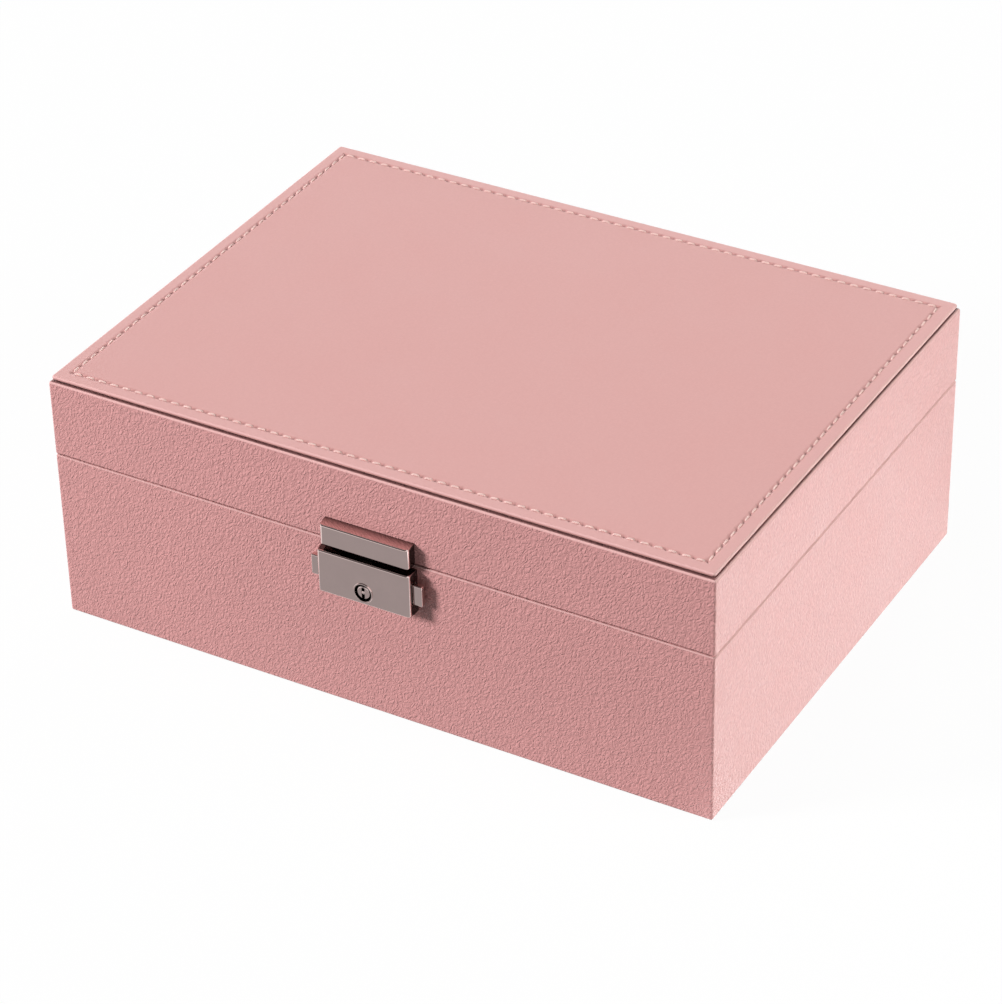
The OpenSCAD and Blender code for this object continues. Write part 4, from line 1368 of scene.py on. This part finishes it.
@dataclass
class Linings:
    """Velvet over board inside the base and the lid: linings, dividers, ledges, mirror and its frame."""

    cloth: float = 0.8
    soft: float = 0.8
    lining_soft: float = 1.28
    ledge: float = 5.0
    window_depth: float = 1.6
    mirror_lap: float = 3.0
    glass_corner: float = 2.0
    glass_edge: float = 0.5
    foot_proud: float = 0.2
    foot_pad: float = 8.95
    foot_corner: float = 3.0

    def lining(self, body: Body) -> None:
        """Lines the base with a tub, or the walls of the lid with a band.

        Args:
            body: The base or the lid.
        """
        low, high = box_mm(f"{body.value}_lining")
        shape = Shape(low, high)
        shape.remove([shape.face_at((0, 0, high.z), UP)])
        if body is Body.LID:
            shape.remove([shape.face_at((0, 0, low.z), DOWN)])
        shape.bevel(shape.sharp(), self.lining_soft, 4)
        shape.make(f"{body.value}_velvet", body, LINING, [f"{body.value}_lining"], self.cloth)

    def bars(self, name: str, body: Body, node: str, bars: Sequence[tuple[Point, Point]]) -> None:
        """Wraps boards in velvet, soft along their upper edges and ends.

        Args:
            name: The piece's name.
            body: The body that it rides on.
            node: The node that it stands for.
            bars: The lowest and highest corner of each board.
        """
        shape = Shape()
        for low, high in bars:
            shape.block(low, high)
        foot = min(low[2] for low, _ in bars)
        shape.bevel(shape.sharp(lambda p: p.z > foot + NEAR), self.soft, 4)
        shape.make(name, body, LINING, [node])

    def bar(self, node: str, body: Body) -> None:
        """Wraps the board of one node in velvet."""
        self.bars(node + "_velvet", body, node, [box_mm(node)])

    def lower_layer(self) -> None:
        """Divides the lower layer and adds the tray's ledges."""
        self.bar("base_divider_long", Body.BASE)
        low, high = box_mm("base_dividers_cross")
        long_low, long_high = box_mm("base_divider_long")
        thick = long_high.y - long_low.y
        bars = []
        for start, end in ((low.y, long_low.y), (long_high.y, high.y)):
            for left in (low.x, high.x - thick):
                bars.append(((left, start, low.z), (left + thick, end, high.z)))
        self.bars("base_cross_divider_velvet", Body.BASE, "base_dividers_cross", bars)
        low, high = box_mm("tray_ledges")
        bars = [((x, low.y, low.z), (x + self.ledge, high.y, high.z)) for x in (low.x, high.x - self.ledge)]
        self.bars("tray_ledge_velvet", Body.BASE, "tray_ledges", bars)

    def frame(self) -> None:
        """Wraps the mirror's frame, whose lip laps over the glass."""
        low, high = box_mm("mirror_frame")
        glass_low, glass_high = box_mm("mirror")
        shape = Shape(low, high)
        window = Vector((self.mirror_lap, self.mirror_lap, 0))
        face = shape.window((0, 0, low.z), DOWN, glass_low + window, glass_high - window)
        shape.remove(shape.extrude([face], UP * self.window_depth))
        shape.bevel(shape.sharp(lambda p: p.z < low.z + NEAR), self.soft, 4)
        shape.make("mirror_frame_velvet", Body.LID, LINING, ["mirror_frame"])

    def glass(self) -> None:
        """Grinds the mirror's edge."""
        low, high = box_mm("mirror")
        shape = Shape(low, high)
        shape.bevel(shape.sharp(lambda p: abs(p.z - (low.z + high.z) / 2) < NEAR), self.glass_corner, 3)
        shape.bevel(shape.sharp(lambda p: p.z < low.z + NEAR), self.glass_edge, 1)
        shape.make("mirror_plate", Body.LID, MIRROR, ["mirror"])

    def foot(self) -> None:
        """Cuts the sheet on the underside, with the pad between the leather's edges."""
        low, high = box_mm("foot_sheet")
        proud = self.foot_proud
        shape = Shape(low, (high.x, high.y, low.z + proud))
        top = shape.inset(shape.face_at((0, 0, low.z + proud), UP), self.foot_pad)
        shape.extrude([top], UP * (high.z - low.z - proud))
        shape.bevel(shape.sharp(lambda p: abs(p.z - low.z - proud / 2) < NEAR), self.foot_corner, 4)
        shape.make("foot_flock", Body.BASE, FLOCK, ["foot_sheet"])

    def build(self) -> None:
        """Builds what lines the base and the lid."""
        self.lining(Body.BASE)
        self.lower_layer()
        self.foot()
        self.lining(Body.LID)
        self.frame()
        self.glass()


@dataclass
class Tray:
    """The lift-out tray: velvet walls and dividers, ring rolls and pull tabs."""

    linings: Linings
    roll_count: int = 6
    roll_shrink: Point = (0.5, 0.45, 0.0)
    roll_fall: float = 0.5
    roll_foot: float = 1.0
    roll_end: float = 1.3
    roll_fill: float = 0.8
    roll_scale: float = 0.01
    voxel: float = 0.007
    quality: int = 6
    pressure: float = 4.0
    frames: int = 20
    most_swell: float = 0.012
    held_below: float = 0.012
    tab_thick: float = 1.0
    tab_round: float = 2.6
    tab_edge: float = 0.3

    def walls(self) -> None:
        """Wraps the floor, the walls and the dividers."""
        dividers = (f"tray_divider_{name}" for name in ("front", "ring", "ring_back", "rear_long"))
        for node in ("tray_floor", *(f"tray_{side}_wall" for side in SIDES), *dividers):
            self.linings.bar(node, Body.TRAY)
        low, high = box_mm("tray_divider_rear_cross")
        long_low, long_high = box_mm("tray_divider_rear_long")
        bars = [((low.x, start, low.z), (high.x, end, high.z))
                for start, end in ((low.y, long_low.y), (long_high.y, high.y))]
        self.linings.bars("tray_rear_cross_velvet", Body.TRAY, "tray_divider_rear_cross", bars)

    def tabs(self) -> None:
        """Folds the two pull tabs."""
        (low, high), thick = box_mm("tray_pull_tabs"), self.tab_thick
        shape = Shape()
        for start in (low.y, high.y - thick):
            shape.block((low.x, start, low.z), (high.x, start + thick, high.z))
        ends = [edge for edge in shape.bm.edges if all(vert.co.z > high.z - NEAR for vert in edge.verts)
                and abs(edge.verts[0].co.y - edge.verts[1].co.y) > thick / 2]
        shape.bevel(ends, self.tab_round, 5)
        shape.bevel(shape.sharp(lambda p: p.z > low.z + NEAR), self.tab_edge, 3)
        shape.make("tray_tab_straps", Body.TRAY, STRAP_LEATHER, ["tray_pull_tabs"])

    def roll_form(self) -> Shape:
        """The plain form of the first ring roll, a little smaller than it is when stuffed.

        Returns:
            The form: flat below, round above, narrower at its foot.
        """
        low, high = box_mm("ring_roll_1")
        shrink = Vector(self.roll_shrink)
        top = Vector((high.x, high.y, high.z - self.roll_fall)) - shrink
        shape = Shape(low + shrink, top)
        along = [edge for edge in shape.bm.edges if abs(edge.verts[0].co.x - edge.verts[1].co.x) > 10]
        upper = [edge for edge in along if edge.verts[0].co.z > low.z + 1]
        shape.bevel(upper, (top.y - low.y - shrink.y) / 2 - 0.15, 8)
        shape.bevel([edge for edge in shape.bm.edges if all(vert.co.z < low.z + NEAR for vert in edge.verts)
                     and len(edge.link_faces) == 2], self.roll_foot, 2)
        ends = [edge for edge in shape.sharp(angle=45.0)
                if abs(edge.verts[0].co.x - edge.verts[1].co.x) < WELD]
        shape.bevel([edge for edge in ends if edge.verts[0].co.z > low.z + 1.2], self.roll_end, 3)
        return shape

    def stuffed(self) -> bpy.types.Mesh:
        """Blows the first roll's cover up like foam under cloth.

        Returns:
            Its mesh, in millimetres.
        """
        low, high = box_mm("ring_roll_1")
        shape = self.roll_form()
        bmesh.ops.translate(shape.bm, vec=-low, verts=shape.bm.verts)
        bmesh.ops.scale(shape.bm, vec=(self.roll_scale,) * 3, verts=shape.bm.verts)
        mesh = bpy.data.meshes.new("roll_form")
        shape.bm.to_mesh(mesh)
        shape.bm.free()
        form = bpy.data.objects.new("roll_form", mesh)
        scene = bpy.context.scene
        scene.collection.objects.link(form)
        remesh = form.modifiers.new("even_cloth", "REMESH")
        remesh.mode, remesh.voxel_size = "VOXEL", self.voxel
        form.data = self.evaluated(form)
        form.modifiers.clear()
        start = self.points(form.data)
        held = form.vertex_groups.new(name="held")
        held.add([i for i, point in enumerate(start) if point[2] < self.held_below], 1.0, "REPLACE")
        cloth = form.modifiers.new("cover", "CLOTH")
        cloth.settings.quality = self.quality
        cloth.settings.vertex_group_mass = "held"
        cloth.settings.use_pressure = True
        cloth.settings.uniform_pressure_force = self.pressure
        cloth.settings.effector_weights.gravity = 0.0
        cloth.collision_settings.use_collision = False
        for number in range(1, self.frames + 1):
            scene.frame_set(number)
        form.data = self.evaluated(form)
        form.modifiers.clear()
        scene.frame_set(1)
        moved = self.points(form.data) - start
        far = np.maximum(np.linalg.norm(moved, axis=1, keepdims=True), 1e-9)
        start = start + moved * np.minimum(1.0, self.most_swell / far)
        size = np.array(high - low)
        final = np.clip(start / self.roll_scale, 0.0, size) + np.array(low)
        form.data.vertices.foreach_set("co", final.astype(np.float32).ravel())
        mesh = form.data
        bpy.data.objects.remove(form)
        return mesh

    @staticmethod
    def evaluated(piece: bpy.types.Object) -> bpy.types.Mesh:
        """A copy of an object's mesh with its modifiers applied."""
        view = bpy.context.evaluated_depsgraph_get()
        return bpy.data.meshes.new_from_object(piece.evaluated_get(view))

    @staticmethod
    def points(mesh: bpy.types.Mesh) -> np.ndarray:
        """Reads a mesh's points.

        Args:
            mesh: The mesh.

        Returns:
            The points, as rows.
        """
        flat = np.zeros(len(mesh.vertices) * 3, np.float32)
        mesh.vertices.foreach_get("co", flat)
        return flat.reshape(-1, 3).astype(float)

    def rolls(self) -> None:
        """Sets the six ring rolls side by side."""
        mesh = self.stuffed()
        first = box_mm("ring_roll_1")[0]
        for number in range(1, self.roll_count + 1):
            node = f"ring_roll_{number}"
            shape = Shape()
            shape.bm.from_mesh(mesh)
            bmesh.ops.translate(shape.bm, vec=box_mm(node)[0] - first, verts=shape.bm.verts)
            piece = shape.make(f"{node}_stuffed", Body.TRAY, ROLL_VELVET, [node])

    def build(self) -> None:
        """Builds the tray."""
        self.walls()
        self.tabs()
        self.rolls()


@dataclass(frozen=True)
class Lamp:
    """A lamp: where it stands as seen from the box, its watts, and its side and distance in metres."""

    name: str
    way: Point
    power: float
    size: float
    distance: float
    colour: Point = (1.0, 1.0, 1.0)


LAMPS = (Lamp("key_lamp", (0.95, 0.10, 0.29), 18.4, 1.0, 1.6, (0.94, 1.0, 0.94)),
         Lamp("top_lamp", (-0.15, -0.12, 0.98), 5.1, 0.6, 1.5),
         Lamp("back_lamp", (-0.15, 0.97, 0.18), 15.0, 0.5, 2.0),
         Lamp("front_lamp", (-0.71, -0.61, 0.37), 172.0, 1.0, 4.0))


@dataclass
class Studio:
    """A pale floor, soft light and the camera at the photograph's angle."""

    azimuth: float = 30.326
    elevation: float = 33.5388
    roll: float = -1.3236
    eye: Point = (488.316, -842.433, 672.778)
    focal_px: float = 3644.36
    image: tuple[int, int] = (1002, 1004)
    sensor: float = 36.0
    lamp_aim: Point = (0.0, 0.0, 0.05)
    floor_half: float = 6.0
    floor_grey: float = 0.22
    floor_white: float = 1.17
    floor_share: float = 0.82
    floor_glow: float = 3.0
    glow_across: tuple[float, float] = (0.10, 0.118)
    glow_away: tuple[float, float] = (-0.135, -0.085)
    glow_turn: tuple[float, float] = (0.08, 0.3)
    floor_dim: float = 0.73
    dim_across: tuple[float, float] = (-0.09, -0.075)
    dim_away: tuple[float, float] = (-0.115, -0.10)
    sky_glow: float = 1.0
    ambient: float = 0.06
    flag: float = 0.12
    flag_way: Point = (-0.421, -0.552, 0.719)
    flag_edge: tuple[float, float] = (0.62, 0.86)
    sky_edge: tuple[float, float] = (0.2, 0.8)

    def camera(self) -> None:
        """Puts the camera where the photograph was taken from."""
        turn, tilt, lean = (math.radians(a) for a in (self.azimuth, self.elevation, self.roll))
        back = Vector((math.sin(turn) * math.cos(tilt), -math.cos(turn) * math.cos(tilt), math.sin(tilt)))
        right = (-back).cross(UP).normalized()
        upward = right.cross(-back)
        right, upward = (math.cos(lean) * right + math.sin(lean) * upward,
                         math.cos(lean) * upward - math.sin(lean) * right)
        data = bpy.data.cameras.new("camera")
        data.sensor_fit, data.sensor_width = "HORIZONTAL", self.sensor
        data.lens = self.focal_px * self.sensor / self.image[0]
        camera = bpy.data.objects.new("camera", data)
        axes = Matrix((right, upward, back)).transposed().to_4x4()
        camera.matrix_world = Matrix.Translation(Vector(self.eye) * MM) @ axes
        bpy.context.scene.collection.objects.link(camera)
        bpy.context.scene.camera = camera

    def lamp(self, lamp: Lamp) -> None:
        """Adds a soft square lamp that no surface mirrors.

        Args:
            lamp: The lamp.
        """
        data = bpy.data.lights.new(lamp.name, "AREA")
        data.energy, data.size, data.color = lamp.power, lamp.size, lamp.colour
        made = bpy.data.objects.new(lamp.name, data)
        towards = Vector(lamp.way).normalized()
        turn = towards.to_track_quat("Z", "Y").to_matrix().to_4x4()
        made.matrix_world = Matrix.Translation(Vector(self.lamp_aim) + towards * lamp.distance) @ turn
        made.visible_glossy = False
        bpy.context.scene.collection.objects.link(made)

    def seen(self, graph: Graph) -> tuple[Val, Val]:
        """Which rays show the background: all that see it, and those that mirror it.

        Args:
            graph: The nodes to add to.

        Returns:
            One for a ray that sees the background, and one for a ray off a glossy surface.
        """
        glossy, camera, clear = (graph.node("ShaderNodeLightPath", {}, {}, f"Is {kind} Ray")
                                 for kind in ("Glossy", "Camera", "Transmission"))
        return (camera + glossy + clear).step(0.0, 1.0), glossy

    def floor(self) -> None:
        """Lays the floor, white to the eye but with the object's shadow on it."""
        sheet = bmesh.new()
        bmesh.ops.create_grid(sheet, x_segments=1, y_segments=1, size=self.floor_half)
        mesh = bpy.data.meshes.new("floor")
        sheet.to_mesh(mesh)
        sheet.free()
        floor = bpy.data.objects.new("floor", mesh)
        bpy.context.scene.collection.objects.link(floor)
        material = bpy.data.materials.new("pale_floor")
        material.use_nodes = True
        graph = Graph(material.node_tree)
        seen, glossy = self.seen(graph)
        across = graph.vector("DOT_PRODUCT", graph.place(), RIGHT)
        away = graph.vector("DOT_PRODUCT", graph.place(), BACK)
        turn_from, slope = self.glow_turn
        beyond = away.math("MAXIMUM", away - turn_from, 0.0)
        lit = (across - beyond * slope).step(*self.glow_across) * away.step(*self.glow_away)
        dim = across.step(*self.dim_across) * (1.0 - away.step(*self.dim_away)) * self.floor_dim
        strength = self.floor_white + glossy * (lit * self.floor_glow - dim)
        plain = graph.node("ShaderNodeBsdfDiffuse", {}, {"Color": (self.floor_grey,) * 3 + (1.0,)})
        glow = graph.node("ShaderNodeEmission", {}, {"Color": WHITE, "Strength": strength})
        both = graph.node("ShaderNodeMixShader", {},
                          {"Fac": seen * self.floor_share, "Shader": plain, "Shader_001": glow})
        graph.node("ShaderNodeOutputMaterial", {}, {"Surface": both})
        mesh.materials.append(material)

    def sky(self) -> None:
        """Sets the light that comes from all round, with a dark flag above the camera in reflections."""
        world = bpy.data.worlds.new("studio")
        world.use_nodes = True
        graph = Graph(world.node_tree)
        seen, glossy = self.seen(graph)
        way = graph.node("ShaderNodeTexCoord", {}, {}, "Generated")
        near = graph.vector("DOT_PRODUCT", way, self.flag_way).step(*self.flag_edge)
        behind = graph.vector("DOT_PRODUCT", way, BACK).step(*self.sky_edge)
        shown = 1.0 + glossy * (behind * self.sky_glow - near * (1.0 - self.flag))
        strength = seen * shown + (1.0 - seen) * self.ambient
        light = graph.node("ShaderNodeBackground", {}, {"Color": WHITE, "Strength": strength})
        graph.node("ShaderNodeOutputWorld", {}, {"Surface": light})
        bpy.context.scene.world = world

    def build(self) -> None:
        """Sets the studio up."""
        bpy.context.scene.view_settings.view_transform = "Standard"
        self.camera()
        self.floor()
        self.sky()
        for lamp in LAMPS:
            self.lamp(lamp)


BOARDS = ("base_board", *(f"{part}_{side}_panel" for part in ("base", "lid") for side in SIDES),
          "lid_top_board", "top_card")
STEEL_PARTS = ("lock_backplate", "lock_cam", "button_spring_left", "button_spring_right", "hasp_screws")


def dress_nodes() -> None:
    """Gives the frame's own nodes that stay their finish."""
    for names, finish in ((BOARDS, BOARD), (STEEL_PARTS, STEEL)):
        for name in names:
            mesh = frame["nodes"][name].data
            mesh.materials.clear()
            mesh.materials.append(finish.material())
            LOG.info("%s: dressed as %s", name, finish.name)


def squash_springs() -> None:
    """Gives each button's spring a mesh of its own, and works out the share of it that would stay as the
    button is pushed fully in, which nothing uses.
    """
    for side in ("left", "right"):
        spring, push = f"button_spring_{side}", f"{side}_button_push"
        low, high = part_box(spring)
        post, far = sorted((low.x, high.x), key=abs)
        keep = 1.0 - max(joint_named(push)["range_m"]) / abs(far - post)
        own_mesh(frame["nodes"][spring])


def main() -> None:
    """Builds the box in order, then its studio."""
    logging.basicConfig(level=logging.INFO, format="%(message)s")
    Studio().build()
    LeatherShell("base_leather", "base_cover", Body.BASE, Rim.TOP, rim_round=0.45).build()
    LeatherShell("lid_leather", "lid_cover", Body.LID, Rim.BOTTOM, rim_round=0.6).build()
    panel = TopPanel()
    panel.leather()
    panel.stitches()
    Lock().build()
    Hinges().build()
    linings = Linings()
    linings.build()
    Tray(linings).build()
    dress_nodes()
    squash_springs()


if __name__ == "__main__":
    main()
